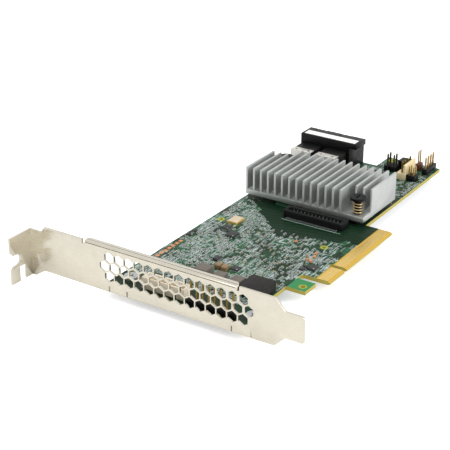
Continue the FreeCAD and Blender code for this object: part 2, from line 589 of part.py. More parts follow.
def make_heat_sink():
    """An extruded plate-fin sink with two diagonal corners cleared for its spring pins."""
    sink = body("heat_sink", "sink_front", "sink_low", f"{BOARD_TOP} + sink_lift")
    pad(sink, rectangle(sketch(sink, "sink_plate"), "0", "0", "sink_deep", "sink_wide"), "sink_base")
    fin = rectangle(sketch(sink, "fin_foot", offset="sink_base"), "0", "0", "sink_deep", "fin_thick")
    repeat(sink, [pad(sink, fin, "fin_tall")], "V_Axis", FIN_PITCH, "fin_count")
    corners = sketch(sink, "cleared_corners", offset="sink_base")
    rectangle(corners, "0 - 1", "0 - 1", "sink_corner + 1", f"{CORNER_WIDE} + 1")
    rectangle(corners, "sink_deep - sink_corner", f"sink_wide - {CORNER_WIDE}", "sink_corner + 1",
              f"{CORNER_WIDE} + 1")
    pocket(sink, corners)
    holes = sketch(sink, "spring_pin_holes")
    circle(holes, "pin_from_front", "pin_from_side", "pin_hole_across")
    circle(holes, "sink_deep - pin_from_front", "sink_wide - pin_from_side", "pin_hole_across")
    pocket(sink, holes)
    node(sink, "heat_sink")


def make_spring_pins():
    """Split plastic pins that snap through the board, each with a brass coil under its head."""
    foot = "(-board_thick - pin_barb_long)"
    neck = f"({SINK_TOP} + spring_tall)"
    for place_name, (x, y) in SPRING_PINS.items():
        pin = body(f"push_pin_{place_name}", x, y)
        turned(pin, f"{place_name}_pin", [
            ("0", foot), ("pin_tip_across / 2", foot), ("pin_barb_across / 2", "-board_thick"),
            ("pin_shank_across / 2", "-board_thick"), ("pin_shank_across / 2", neck),
            ("pin_head_across / 2", neck), ("pin_head_across / 2", f"{neck} + pin_head_tall"),
            ("0", f"{neck} + pin_head_tall")])
        split = rectangle(sketch(pin, f"{place_name}_pin_split", "XZ", "-pin_barb_across"), "-pin_split / 2",
                          f"{foot} - 1", "pin_split", "pin_barb_long + board_thick + 1")
        pocket(pin, split, "2 * pin_barb_across")
        recess = rectangle(sketch(pin, f"{place_name}_pin_recess", offset=f"{neck} + pin_head_tall - 0.5"),
                           "-pin_head_across / 4", "-pin_recess / 2", "pin_head_across / 2", "pin_recess")
        pocket(pin, recess)
        node(pin, f"push_pin_{place_name}")
        coil = body(f"push_pin_spring_{place_name}", x, y, f"{BOARD_TOP} + {SINK_TOP}")
        inner = "(spring_across / 2 - spring_wire)"
        wire = polygon(sketch(coil, f"{place_name}_wire", "XZ"), [
            (inner, "0"), (f"{inner} + spring_wire", "spring_wire / 2"), (inner, "spring_wire")])
        turns = coil.newObject("PartDesign::AdditiveHelix", f"{place_name}_coil")
        turns.Profile = wire
        turns.ReferenceAxis = (wire, ["V_Axis"])
        turns.Mode = "height-turns-angle"
        bind(turns, "Height", "spring_tall - spring_wire")
        bind(turns, "Turns", "spring_turns")
        node(coil, f"push_pin_spring_{place_name}")


def make_controller():
    """The controller's substrate and lid, with the pad that carries its heat to the sink."""
    centre_x = "(sink_front + sink_deep / 2)"
    centre_y = "(sink_low + sink_wide / 2)"
    layers = (("controller_substrate", "substrate_side", "0", "substrate_tall"),
              ("controller_lid", "lid_side", "substrate_tall", "lid_tall"),
              ("thermal_pad", "lid_side", "substrate_tall + lid_tall", "sink_lift - substrate_tall - lid_tall"))
    for name, side, low, tall in layers:
        layer = block(name, f"{centre_x} - {side} / 2", f"{centre_y} - {side} / 2", f"{BOARD_TOP} + {low}",
                      side, side, tall)
        node(layer, name)


def make_memory():
    for number in range(int(SIZES["memory_count"])):
        chip = block(f"memory_chip_{number + 1}", "memory_x", f"memory_first_y + {number} * memory_pitch",
                     f"{BOARD_LOW} - memory_tall", "memory_long", "memory_wide", "memory_tall")
        node(chip, f"memory_chip_{number + 1}")


def make_mezzanine():
    """A long low socket whose well is lined by two rows of blades, with a row of solder tails."""
    socket = body("mezzanine_socket", "mezz_x", "mezz_y")
    outer = polygon(sketch(socket, "mezz_outer"), [
        ("0", "0.8"), ("0.8", "0"), ("mezz_deep", "0"), ("mezz_deep", "mezz_wide"), ("0.8", "mezz_wide"),
        ("0", "mezz_wide - 0.8")])
    pad(socket, outer, "mezz_tall")
    well = rectangle(sketch(socket, "mezz_well", offset="mezz_well_floor"), "(mezz_deep - mezz_well_deep) / 2",
                     "(mezz_wide - mezz_well_wide) / 2", "mezz_well_deep", "mezz_well_wide")
    pocket(socket, well)
    node(socket, "mezzanine_socket")
    start = "(mezz_wide - (mezz_pin_count - 1) * mezz_pin_pitch - mezz_pin_wide) / 2"
    pins = body("mezzanine_contacts", "mezz_x", "mezz_y")
    tail = rectangle(sketch(pins, "mezz_tail"), "-mezz_pin_out", start, "mezz_pin_out", "mezz_pin_wide")
    repeat(pins, [pad(pins, tail, "mezz_pin_thick")], "V_Axis", "mezz_pin_pitch", "mezz_pin_count")
    for side, x in (("near", "(mezz_deep - mezz_well_deep) / 2"),
                    ("far", "(mezz_deep + mezz_well_deep) / 2 - mezz_pin_thick")):
        blade = rectangle(sketch(pins, f"mezz_{side}_blade", offset="mezz_well_floor"), x, start,
                          "mezz_pin_thick", "mezz_pin_wide")
        repeat(pins, [pad(pins, blade, "mezz_blade_tall")], "V_Axis", "2 * mezz_pin_pitch", "mezz_pin_count / 2")
    node(pins, "mezzanine_contacts")


# ------------------------------------------------------------------------- the internal ports
PORTS = {"port_low": "port_low_y", "port_high": "port_low_y + port_pitch"}


def make_ports():
    """Right-angle sockets that open away from the bracket, each with two stacked card slots."""
    slot_start = "(port_long - port_slot_deep)"
    for name, y in PORTS.items():
        port = body(f"{name}_housing", "port_x", y)
        pad(port, rectangle(sketch(port, f"{name}_block"), "0", "0", "port_long", "port_wide"), "port_tall")
        mouth = rectangle(sketch(port, f"{name}_mouth", "YZ", "port_long - port_mouth_deep"), "port_wall",
                          "port_wall", "port_wide - 2 * port_wall", "port_tall - 2 * port_wall")
        pocket(port, mouth)
        slots = sketch(port, f"{name}_slots", "YZ", slot_start)
        for rise in ("0", "port_slot_rise"):
            rectangle(slots, "(port_wide - port_slot_wide) / 2", f"port_slot_low + {rise} - port_slot_tall / 2",
                      "port_slot_wide", "port_slot_tall")
        pocket(port, slots, "port_slot_deep - port_mouth_deep")
        node(port, f"{name}_housing")
        fingers = body(f"{name}_contacts", "port_x", y)
        start = "(port_wide - (port_contact_count - 1) * port_contact_pitch - port_contact_wide) / 2"
        for level, rise in (("lower", "0"), ("upper", "port_slot_rise")):
            floor = f"port_slot_low + {rise} - port_slot_tall / 2"
            finger = rectangle(sketch(fingers, f"{name}_{level}_contact", offset=floor), slot_start, start,
                               "port_contact_long", "port_contact_wide")
            repeat(fingers, [pad(fingers, finger, "port_contact_thick")], "V_Axis", "port_contact_pitch",
                   "port_contact_count")
        node(fingers, f"{name}_contacts")
        cover = body(f"{name}_cover_plate", "port_x", y)
        bent = polygon(sketch(cover, f"{name}_cover_side", "XZ"), [
            ("-plate_cover_thick", "0"), ("0", "0"), ("0", "port_tall"), ("plate_cover_deep", "port_tall"),
            ("plate_cover_deep", "port_tall + plate_cover_thick"),
            ("-plate_cover_thick", "port_tall + plate_cover_thick")])
        pad(cover, bent, "port_wide", True)
        eyes = sketch(cover, f"{name}_cover_eyes", offset="port_tall - 1")
        for share in ("0.2", "0.8"):
            circle(eyes, "plate_cover_deep * 0.45", f"port_wide * {share}", "plate_cover_hole")
        pocket(cover, eyes)
        node(cover, f"{name}_cover_plate")


def make_guide():
    """The tall block that straddles both ports, with a catch window over each."""
    guide = body("port_guide", "guide_x", "guide_low_y")
    slab = "(guide_tall - guide_slab_tall)"
    pad(guide, rectangle(sketch(guide, "guide_slab", offset=slab), "0", "0", "guide_deep", "guide_wide"),
        "guide_slab_tall")
    riser = "(port_low_y - guide_low_y - guide_cheek)"
    pad(guide, rectangle(sketch(guide, "guide_riser", offset="port_tall"), "0", riser, "guide_far - guide_x",
                         f"guide_wide - {riser}"), f"{slab} - port_tall")
    for name, y in (("low_cheek", riser), ("high_cheek", "port_low_y + port_pitch + port_wide - guide_low_y")):
        wide = "guide_cheek" if name == "low_cheek" else "guide_wide + guide_low_y - port_low_y - port_pitch - port_wide"
        pad(guide, rectangle(sketch(guide, name), "0", y, "guide_far - guide_x", wide), "port_tall")
    web = rectangle(sketch(guide, "guide_web"), "0", "port_low_y + port_wide - guide_low_y",
                    "guide_far - guide_x", "port_pitch - port_wide")
    pad(guide, web, "port_tall")
    windows = sketch(guide, "catch_windows", offset=slab)
    for y in PORTS.values():
        rectangle(windows, "guide_deep - latch_deep", f"{y} + (port_wide - latch_wide) / 2 - guide_low_y",
                  "latch_deep + 1", "latch_wide")
    pocket(guide, windows)
    node(guide, "port_guide")
    label = block("blank_label", "guide_x + label_inset", "guide_low_y + (guide_wide - label_wide) / 2",
                  f"{BOARD_TOP} + guide_tall", "label_deep", "label_wide", "label_thick")
    node(label, "blank_label")


# --------------------------------------------------------------------- smaller board components
def make_packages():
    for name in PACKAGES:
        node(block(name, f"{name}_x", f"{name}_y", BOARD_TOP, f"{name}_long", f"{name}_wide", f"{name}_tall"), name)
    tantals = [block(f"{name}_case", f"{name}_x", f"{name}_y", BOARD_TOP, f"{name}_long", f"{name}_wide",
                     f"{name}_tall") for name in TANTALS]
    node(group("bulk_capacitor_pair", tantals), "bulk_capacitors")


def make_choke():
    """The large power inductor: a moulded block with cut corners on two low feet."""
    choke = body("large_power_inductor", "choke_x", "choke_y")
    far = "choke_long - choke_corner"
    top = "choke_wide - choke_corner"
    outline = polygon(sketch(choke, "choke_outline", offset="choke_foot"), [
        ("choke_corner", "0"), (far, "0"), ("choke_long", "choke_corner"), ("choke_long", top),
        (far, "choke_wide"), ("choke_corner", "choke_wide"), ("0", top), ("0", "choke_corner")])
    pad(choke, outline, "choke_tall - choke_foot")
    feet = sketch(choke, "choke_feet")
    for x in ("choke_corner", "choke_long - 4 * choke_corner"):
        rectangle(feet, x, "choke_corner", "3 * choke_corner", "choke_wide - 2 * choke_corner")
    pad(choke, feet, "choke_foot")
    node(choke, "large_power_inductor")


def make_clock():
    node(block("oscillator_base", "clock_x", "clock_y", BOARD_TOP, "clock_long", "clock_wide", "clock_base_tall"),
         "oscillator_base")
    lid = block("oscillator_lid", "clock_x + clock_lid_inset", "clock_y + clock_lid_inset",
                f"{BOARD_TOP} + clock_base_tall", "clock_long - 2 * clock_lid_inset",
                "clock_wide - 2 * clock_lid_inset", "clock_lid_tall")
    node(lid, "oscillator_lid")


def make_buzzer():
    case = block("buzzer_case", "buzzer_x", "buzzer_y", BOARD_TOP, "buzzer_side", "buzzer_side", "buzzer_tall")
    sound_hole = rod("buzzer_hole", "buzzer_x + buzzer_side / 2", "buzzer_y + buzzer_side / 2",
                     f"{BOARD_TOP} + buzzer_tall - buzzer_hole_deep", "buzzer_hole_across", "buzzer_hole_deep")
    node(cut("buzzer_shell", case, sound_hole), "alarm_buzzer")


def make_chip_rows():
    """Small capacitors and resistors in a regular field between the bracket and the socket."""
    kinds = {"capacitor": ("chip_first_x", "chip_first_y"),
             "resistor": ("chip_first_x + resistor_shift_x", "chip_first_y + resistor_shift_y")}
    for kind, (x, y) in kinds.items():
        chips = body(f"chip_{kind}s", x, y)
        first = pad(chips, rectangle(sketch(chips, f"{kind}_outline"), "0", "0", f"{kind}_long", f"{kind}_wide"),
                    f"{kind}_tall")
        repeat_both_ways(chips, [first], ("chip_step_x", "chip_step_y"), ("chip_columns", "chip_rows"))
        node(chips, f"chip_{kind}s")


make_board()
make_contacts()
make_test_pads()
make_bracket()
make_screws()
make_heat_sink()
make_spring_pins()
make_controller()
make_memory()
make_mezzanine()
make_ports()
make_guide()
make_headers()
make_lock_header()
make_shroud_header()
make_packages()
make_choke()
make_clock()
make_buzzer()
make_chip_rows()

# ------------------------------------------------------------------------- checks and the files
doc.recompute()
faults = [thing.Name for thing in doc.Objects if {"Invalid", "Error"} & set(thing.State)]
faults += [thing.Label for thing in nodes if thing.Shape.isNull() or not thing.Shape.isValid()]
if faults:
    raise RuntimeError(f"failed objects: {faults}")
for thing in nodes:
    thing.Shape.exportStep(f"parts/{thing.Label}.step")
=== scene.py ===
"""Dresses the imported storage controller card: finishes, small board parts, stage, lamps and camera."""

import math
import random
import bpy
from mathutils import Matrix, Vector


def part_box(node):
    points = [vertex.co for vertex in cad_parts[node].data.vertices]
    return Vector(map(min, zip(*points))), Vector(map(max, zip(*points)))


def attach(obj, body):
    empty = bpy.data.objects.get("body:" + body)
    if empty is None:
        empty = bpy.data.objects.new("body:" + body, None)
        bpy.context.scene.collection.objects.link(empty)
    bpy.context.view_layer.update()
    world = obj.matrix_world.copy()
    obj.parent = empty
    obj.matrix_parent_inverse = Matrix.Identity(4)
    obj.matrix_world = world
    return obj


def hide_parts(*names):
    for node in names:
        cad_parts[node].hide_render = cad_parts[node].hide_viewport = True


bl_info = {
    "name": "Controller card finish",
    "version": (1, 0, 0),
    "blender": (4, 5, 0),
    "location": "3D View > Sidebar > Card",
    "description": "Finishes and small parts for a storage controller card",
    "category": "Object",
}

import bmesh
import bpy
from bpy.props import FloatProperty, FloatVectorProperty, IntProperty, PointerProperty
from mathutils import Vector

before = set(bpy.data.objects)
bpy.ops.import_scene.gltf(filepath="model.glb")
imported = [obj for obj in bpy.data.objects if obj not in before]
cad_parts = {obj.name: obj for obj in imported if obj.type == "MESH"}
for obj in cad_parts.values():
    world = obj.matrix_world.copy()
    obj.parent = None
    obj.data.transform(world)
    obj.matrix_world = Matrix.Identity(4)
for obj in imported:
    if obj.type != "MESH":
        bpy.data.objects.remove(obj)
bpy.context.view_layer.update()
BOARD_LOW, BOARD_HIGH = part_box("circuit_board")
MM = 0.001
# The board's far end and the tip of its card edge, in millimetres from the bracket's face and its tongue's
# tip, and the board's thickness.
BOARD_FAR_X, EDGE_TIP_Y, BOARD_THICK = 168.65, 15.4, 1.57


def at(x, y, z=0.0):
    """A place given in millimetres from the bracket's face, its tongue's tip and the component face."""
    return Vector((BOARD_HIGH[0] + (x - BOARD_FAR_X) * MM, BOARD_LOW[1] + (y - EDGE_TIP_Y) * MM,
                   BOARD_HIGH[2] + z * MM))


def shade(red, green, blue):
    """A colour written in display values from 0 to 255, as the linear values that shaders take."""
    return tuple(((c / 255 + 0.055) / 1.055) ** 2.4 if c > 10 else c / 255 / 12.92
                 for c in (red, green, blue))


# ------------------------ sizes and colours
def length(name, millimetres, words):
    return FloatProperty(name=name, description=words, default=millimetres * MM, min=0.0, unit="LENGTH")


def colour(name, values, words):
    return FloatVectorProperty(name=name, description=words, default=shade(*values), subtype="COLOR",
                               min=0, max=1)


class CardSizes(bpy.types.PropertyGroup):
    chip_long: length("Chip length", 0.85, "Length of a small chip resistor or capacitor")
    chip_wide: length("Chip width", 0.45, "Width of a small chip resistor or capacitor")
    chip_tall: length("Chip height", 0.4, "Height of a small chip capacitor")
    chip_end: length("Tinned end", 0.25, "Length of a chip part's tinned end")
    row_pitch: length("Row pitch", 1.5, "Distance between two rows of small parts")
    column_pitch: length("Column pitch", 1.9, "Distance between two small parts in a row")
    ink_wide: length("Ink width", 0.16, "Width of a printed outline")
    joint_radius: length("Joint radius", 0.62, "Radius of a soldered joint on the back")
    wire_radius: length("Spring wire", 0.24, "Radius of the push pins' spring wire")
    edge_round: length("Moulded edge", 0.12, "Rounding along the edges of moulded parts")
    via_count: IntProperty(name="Vias", description="How many plated vias each face shows", default=360,
                           min=0)


class CardColours(bpy.types.PropertyGroup):
    mask: colour("Solder mask", (26, 46, 28), "Green solder mask over bare laminate")
    mask_copper: colour("Mask on copper", (44, 88, 60), "Solder mask where copper lies under it")
    laminate: colour("Laminate", (176, 164, 84), "Cut edge of the laminate")
    gold: colour("Gold", (204, 150, 50), "Contact gold")
    copper: colour("Copper", (214, 138, 88), "Bare copper")
    tin: colour("Tin", (196, 200, 200), "Tinned ends and solder")
    ink: colour("Ink", (200, 216, 212), "Printed component outlines")
    nickel: colour("Nickel", (214, 208, 193), "Plated bracket")
    aluminium: colour("Aluminium", (186, 189, 187), "Extruded heat sink")
    black: colour("Black plastic", (13, 13, 14), "Black moulded plastic")
    epoxy: colour("Moulding compound", (20, 21, 22), "Body of a chip")
    cream: colour("Cream plastic", (226, 208, 166), "Cream moulded plastic")
    brown: colour("Brown plastic", (96, 54, 40), "Brown moulded plastic")
    brass: colour("Brass wire", (176, 142, 84), "Spring wire")
    ferrite: colour("Ferrite", (36, 34, 33), "Body of the large inductor")
    core: colour("Pressed iron", (104, 98, 90), "Bodies of the small inductors")
    ceramic: colour("Ceramic", (112, 98, 82), "Chip capacitor bodies")
    resin: colour("Tan resin", (132, 110, 78), "Bulk capacitor bodies")
    paper: colour("Paper", (238, 239, 236), "Blank label")
    floor: colour("Floor", (244, 244, 244), "Studio floor")


def sizes():
    return bpy.context.scene.card_sizes


def colours():
    return bpy.context.scene.card_colours


# ------------------------ finishes
class Wiring:
    """Short calls for adding nodes to a tree and joining them up."""

    def __init__(self, tree):
        self.tree = tree

    def node(self, kind, inputs=None, **settings):
        new = self.tree.nodes.new(kind)
        for key, value in settings.items():
            setattr(new, key, value)
        for key, value in (inputs or {}).items():
            if isinstance(value, bpy.types.NodeSocket):
                self.tree.links.new(value, new.inputs[key])
            else:
                new.inputs[key].default_value = value
        return new

    def maths(self, operation, first, second=0.0):
        return self.node("ShaderNodeMath", {0: first, 1: second}, operation=operation).outputs[0]


class Finish(Wiring):
    """A material under construction: its nodes, and short names for the ones used often."""

    def __init__(self, name, colour_value, rough, metal, specular=0.5):
        self.material = bpy.data.materials.new(name)
        self.material.use_nodes = True
        super().__init__(self.material.node_tree)
        self.shader = self.tree.nodes["Principled BSDF"]
        self.shader.inputs["Base Color"].default_value = (*colour_value, 1)
        self.shader.inputs["Roughness"].default_value = rough
        self.shader.inputs["Metallic"].default_value = metal
        self.shader.inputs["Specular IOR Level"].default_value = specular
        self.place = self.tree.nodes.new("ShaderNodeTexCoord").outputs["Object"]

    def stretched(self, x=1.0, y=1.0, z=1.0):
        """The object's coordinates in millimetres, scaled along each axis."""
        scale = (x / MM, y / MM, z / MM)
        return self.node("ShaderNodeMapping", {"Vector": self.place, "Scale": scale}).outputs[0]

    def noise(self, scale, detail=3.0, vector=None):
        made = self.node("ShaderNodeTexNoise", {"Vector": vector or self.stretched(), "Scale": scale,
                                                "Detail": detail, "Roughness": 0.55})
        return made.outputs["Fac"]

    def ramp(self, factor, *stops):
        """A grey ramp between two stops, each (position, value)."""
        made = self.node("ShaderNodeValToRGB", {"Fac": factor})
        for index, (position, value) in enumerate(stops):
            element = made.color_ramp.elements[index]
            element.position = position
            element.color = (value, value, value, 1)
        return made.outputs["Color"]

    def mix(self, factor, first, second):
        made = self.node("ShaderNodeMix", data_type="RGBA")
        for socket, value in ((made.inputs[0], factor), (made.inputs[6], first), (made.inputs[7], second)):
            if isinstance(value, bpy.types.NodeSocket):
                self.tree.links.new(value, socket)
            elif socket == made.inputs[0]:
                socket.default_value = value
            else:
                socket.default_value = (*value, 1)
        return made.outputs[2]

    def colour(self, socket):
        self.tree.links.new(socket, self.shader.inputs["Base Color"])
        return self

    def rough(self, socket):
        self.tree.links.new(socket, self.shader.inputs["Roughness"])
        return self

    def bump(self, height, distance, strength):
        made = self.node("ShaderNodeBump", {"Height": height, "Distance": distance * MM,
                                            "Strength": strength})
        self.tree.links.new(made.outputs["Normal"], self.shader.inputs["Normal"])
        return self


def darker(values, share):
    return tuple(v * share for v in values)


def moulded(name, base, rough=0.45, grain=0.35, shine=0.3):
    """Moulded plastic: a fine spark-eroded grain, slight mottling and flow-dulled patches."""
    made = Finish(name, base, rough, 0.0, shine)
    fine = made.noise(9.0, 2.0)
    broad = made.noise(0.35, 3.0)
    made.colour(made.mix(broad, darker(base, 0.82), darker(base, 1.16)))
    made.rough(made.ramp(made.noise(0.8, 3.0), (0.3, rough - 0.08), (0.7, rough + 0.12)))
    made.bump(fine, 0.03, grain)
    return made.material


def plated(name, base, rough=0.3, metal=0.9, scratch=0.25, along="x", painted_shade=None):
    """Plated or drawn metal: faint lines along the way it was worked, uneven polish, and any painted shade laid
    over the colour by the function given last.
    """
    made = Finish(name, base, rough, metal)
    drawn_out = {"x": (0.12, 9, 9), "y": (9, 0.12, 9), "z": (9, 9, 0.12)}[along]
    lines = made.noise(1.0, 3.0, made.stretched(*drawn_out))
    cloud = made.noise(0.25, 4.0)
    tone = made.mix(cloud, darker(base, 0.9), tuple(min(1.0, v * 1.08) for v in base))
    made.colour(painted_shade(made, tone) if painted_shade else tone)
    made.rough(made.ramp(lines, (0.25, rough - 0.07), (0.75, rough + 0.13)))
    made.bump(lines, 0.02, scratch)
    return made.material


# The bracket's lip: its top over the component face, how far below and behind its corner the two folds run,
# where lines of painted shade are drawn, and the middle and half length of the lip along the bracket.
LIP_TOP, FOLD_DOWN, FOLD_BACK = 15.32, 0.85, 1.3
LIP_MIDDLE, LIP_HALF = 59.9, 32.8
# Half width of each fold's line of painted shade.
FOLD_SHADE_HALF = 0.12


def painted_fold_shade(made, tone):
    """Painted shade: two fine dark lines where the bracket's lip is folded, standing for the dark reflection in
    each bend.
    """
    where = made.node("ShaderNodeSeparateXYZ", {"Vector": made.place})
    top = at(0, 0, LIP_TOP)[2]

    def near(axis, value, reach):
        gap = made.maths("ABSOLUTE", made.maths("SUBTRACT", where.outputs[axis], value))
        return made.maths("LESS_THAN", gap, reach * MM)

    # The painted shade lies on the plate's front just below the lip's top, and on the lip's top just behind the
    # corner.
    in_front = made.maths("MULTIPLY", near("Z", top - FOLD_DOWN * MM, FOLD_SHADE_HALF), near("X", at(0, 0)[0], 0.3))
    on_top = made.maths("MULTIPLY", near("X", at(FOLD_BACK, 0)[0], FOLD_SHADE_HALF), near("Z", top, 0.2))
    line = made.maths("MULTIPLY", made.maths("MAXIMUM", in_front, on_top),
                      near("Y", at(0, LIP_MIDDLE)[1], LIP_HALF))
    return made.mix(line, tone, shade(74, 64, 52))


# The face between the heat sink and this line holds fine tracks and no small parts: where the line comes
# nearest the bracket, how fast it draws back on either side, and the front of the heat sink.
CLEAR_X, CLEAR_Y = 70.0, 53.0
FAR_SLANT, NEAR_SLANT = 0.9, 0.3
SINK_FRONT = 94.0


def clear_from(y):
    return CLEAR_X + max(FAR_SLANT * (y - CLEAR_Y), NEAR_SLANT * (CLEAR_Y - y))


# Where the board's face changes its look, in the same millimetres: the strip under the bracket, the far end,
# the hook beside the card edge, and the bare gilded tongue of the card edge.
UNDER_BRACKET, FAR_END = 13.0, 129.0
HOOK_MIDDLE, HOOK_REACH, HOOK_TOP = 35.0, 10.0, 27.0
TONGUE_START, TONGUE_DEEP = 45.0, 6.0
# Most that the ragged edge of the crowded area wanders.
RAGGED = 14.0


def crowded_share(made, along, across):
    """One where small parts crowd the face before the slanted, ragged edge of the clear area."""
    off_middle = made.maths("SUBTRACT", across, at(0, CLEAR_Y)[1])
    slant = made.maths("MAXIMUM", made.maths("MULTIPLY", off_middle, FAR_SLANT),
                       made.maths("MULTIPLY", off_middle, -NEAR_SLANT))
    ragged = made.maths("MULTIPLY", made.maths("SUBTRACT", made.noise(0.16, 3.0), 0.5), RAGGED * MM)
    return made.maths("LESS_THAN", made.maths("SUBTRACT", made.maths("ADD", along, ragged), slant),
                      at(CLEAR_X, 0)[0])


def copper_runs(made, crowded):
    """Copper under the mask: cells of straight runs, each cell one way, and a few broad pours."""
    cells = made.node("ShaderNodeTexVoronoi", {"Vector": made.stretched(), "Scale": 0.17},
                      distance="CHEBYCHEV")
    choice = made.node("ShaderNodeSeparateColor", {"Color": cells.outputs["Color"]})
    runs = []
    for direction in ("X", "Y"):
        wave = made.node("ShaderNodeTexWave", {"Vector": made.stretched(), "Scale": 0.42, "Distortion": 0.0},
                         bands_direction=direction)
        runs.append(made.maths("GREATER_THAN", wave.outputs["Fac"], 0.62))
    way = made.maths("GREATER_THAN", choice.outputs["Red"], 0.5)
    lines = made.node("ShaderNodeMix", {0: way, 2: runs[0], 3: runs[1]}, data_type="FLOAT").outputs[0]
    there = made.maths("GREATER_THAN", choice.outputs["Green"], 0.34)
    copper = made.maths("MULTIPLY", made.maths("MULTIPLY", lines, there), crowded)
    pour = made.maths("MULTIPLY", made.maths("GREATER_THAN", made.noise(0.11, 1.0), 0.55), crowded)
    return made.maths("MAXIMUM", copper, pour)


def swept_tracks(made, crowded):
    """Fine curved tracks that sweep through the clear area."""
    swept = made.node("ShaderNodeTexWave", {"Vector": made.stretched(), "Scale": 0.3, "Distortion": 9.0,
                                            "Detail": 0.0, "Detail Scale": 0.16}, bands_direction="DIAGONAL")
    swept = made.maths("GREATER_THAN", swept.outputs["Fac"], 0.66)
    return made.maths("MULTIPLY", swept, made.maths("SUBTRACT", 1.0, crowded))


def printed_streaks(made, crowded, under_bracket, far_end):
    """Short pale strokes of print, in patches, none under the bracket and fewer at the far end."""
    lengthways = made.noise(1.0, 1.0, made.stretched(0.14, 1.7))
    crossways = made.noise(1.0, 1.0, made.stretched(1.7, 0.2))
    printed = made.maths("MAXIMUM", made.maths("GREATER_THAN", lengthways, 0.585),
                         made.maths("GREATER_THAN", crossways, 0.64))
    patches = made.maths("GREATER_THAN", made.noise(0.13, 2.0), 0.44)
    patches = made.maths("MULTIPLY", patches, made.maths("SUBTRACT", 1.0, under_bracket))
    patches = made.maths("MULTIPLY", patches,
                         made.maths("SUBTRACT", 1.0, made.maths("MULTIPLY", far_end, 0.5)))
    return made.maths("MULTIPLY", made.maths("MULTIPLY", printed, patches), crowded)


def solder_mask():
    """Green mask with copper runs and print showing on it, and a bare laminate edge all round."""
    tints = colours()
    made = Finish("solder_mask", tints.mask, 0.36, 0.0, 0.1)
    where = made.node("ShaderNodeSeparateXYZ", {"Vector": made.place})
    along, across = where.outputs["X"], where.outputs["Y"]
    far_end = made.maths("GREATER_THAN", along, at(FAR_END, 0)[0])
    under_bracket = made.maths("LESS_THAN", along, at(UNDER_BRACKET, 0)[0])
    crowded = made.maths("MAXIMUM", crowded_share(made, along, across), far_end)
    copper = copper_runs(made, crowded)

    tone = made.mix(made.noise(0.16, 3.0), darker(tints.mask, 0.7), darker(tints.mask, 1.25))
    # Painted shadow: the clear area by the heat sink is made far darker, and its swept tracks dark too, as
    # shade cast by the heat sink.
    tone = made.mix(crowded, darker(tints.mask, 0.32), tone)
    tone = made.mix(swept_tracks(made, crowded), tone, darker(tints.mask_copper, 0.42))
    over_copper = made.mix(made.noise(0.3, 2.0), darker(tints.mask_copper, 0.7), tints.mask_copper)
    face = made.mix(copper, tone, over_copper)
    printed = printed_streaks(made, crowded, under_bracket, far_end)
    face = made.mix(printed, face, made.mix(made.noise(1.1, 2.0), darker(tints.ink, 0.3), tints.ink))
    # Painted shade: the strip under the bracket's lip is made darker, as it lies in the bracket's shade.
    face = made.mix(made.maths("MULTIPLY", under_bracket, 0.75), face, darker(tints.mask, 0.5))

    off_hook = made.maths("ABSOLUTE", made.maths("SUBTRACT", along, at(HOOK_MIDDLE, 0)[0]))
    hook = made.maths("MULTIPLY", made.maths("LESS_THAN", off_hook, HOOK_REACH * MM),
                      made.maths("LESS_THAN", across, at(0, HOOK_TOP)[1]))
    face = made.mix(hook, face, shade(54, 128, 78))
    bare_tongue = made.maths("LESS_THAN", across, BOARD_LOW[1] + TONGUE_DEEP * MM)
    bare_tongue = made.maths("MULTIPLY", bare_tongue,
                             made.maths("GREATER_THAN", along, at(TONGUE_START, 0)[0]))
    face = made.mix(bare_tongue, face, made.mix(0.55, tints.laminate, tints.gold))

    weave = made.noise(1.4, 3.0, made.stretched(1.0, 1.0, 5.0))
    bare = made.mix(weave, darker(tints.laminate, 0.82), tuple(min(1, v * 1.15) for v in tints.laminate))
    normal = made.node("ShaderNodeSeparateXYZ",
                       {"Vector": made.node("ShaderNodeNewGeometry").outputs["Normal"]})
    side = made.maths("LESS_THAN", made.maths("ABSOLUTE", normal.outputs["Z"]), 0.5)
    made.colour(made.mix(side, face, bare))
    made.rough(made.ramp(made.noise(0.6, 2.0), (0.3, 0.28), (0.7, 0.42)))
    made.bump(made.maths("ADD", copper, made.maths("MULTIPLY", made.noise(3.0, 2.0), 0.25)), 0.035, 0.6)
    return made.material


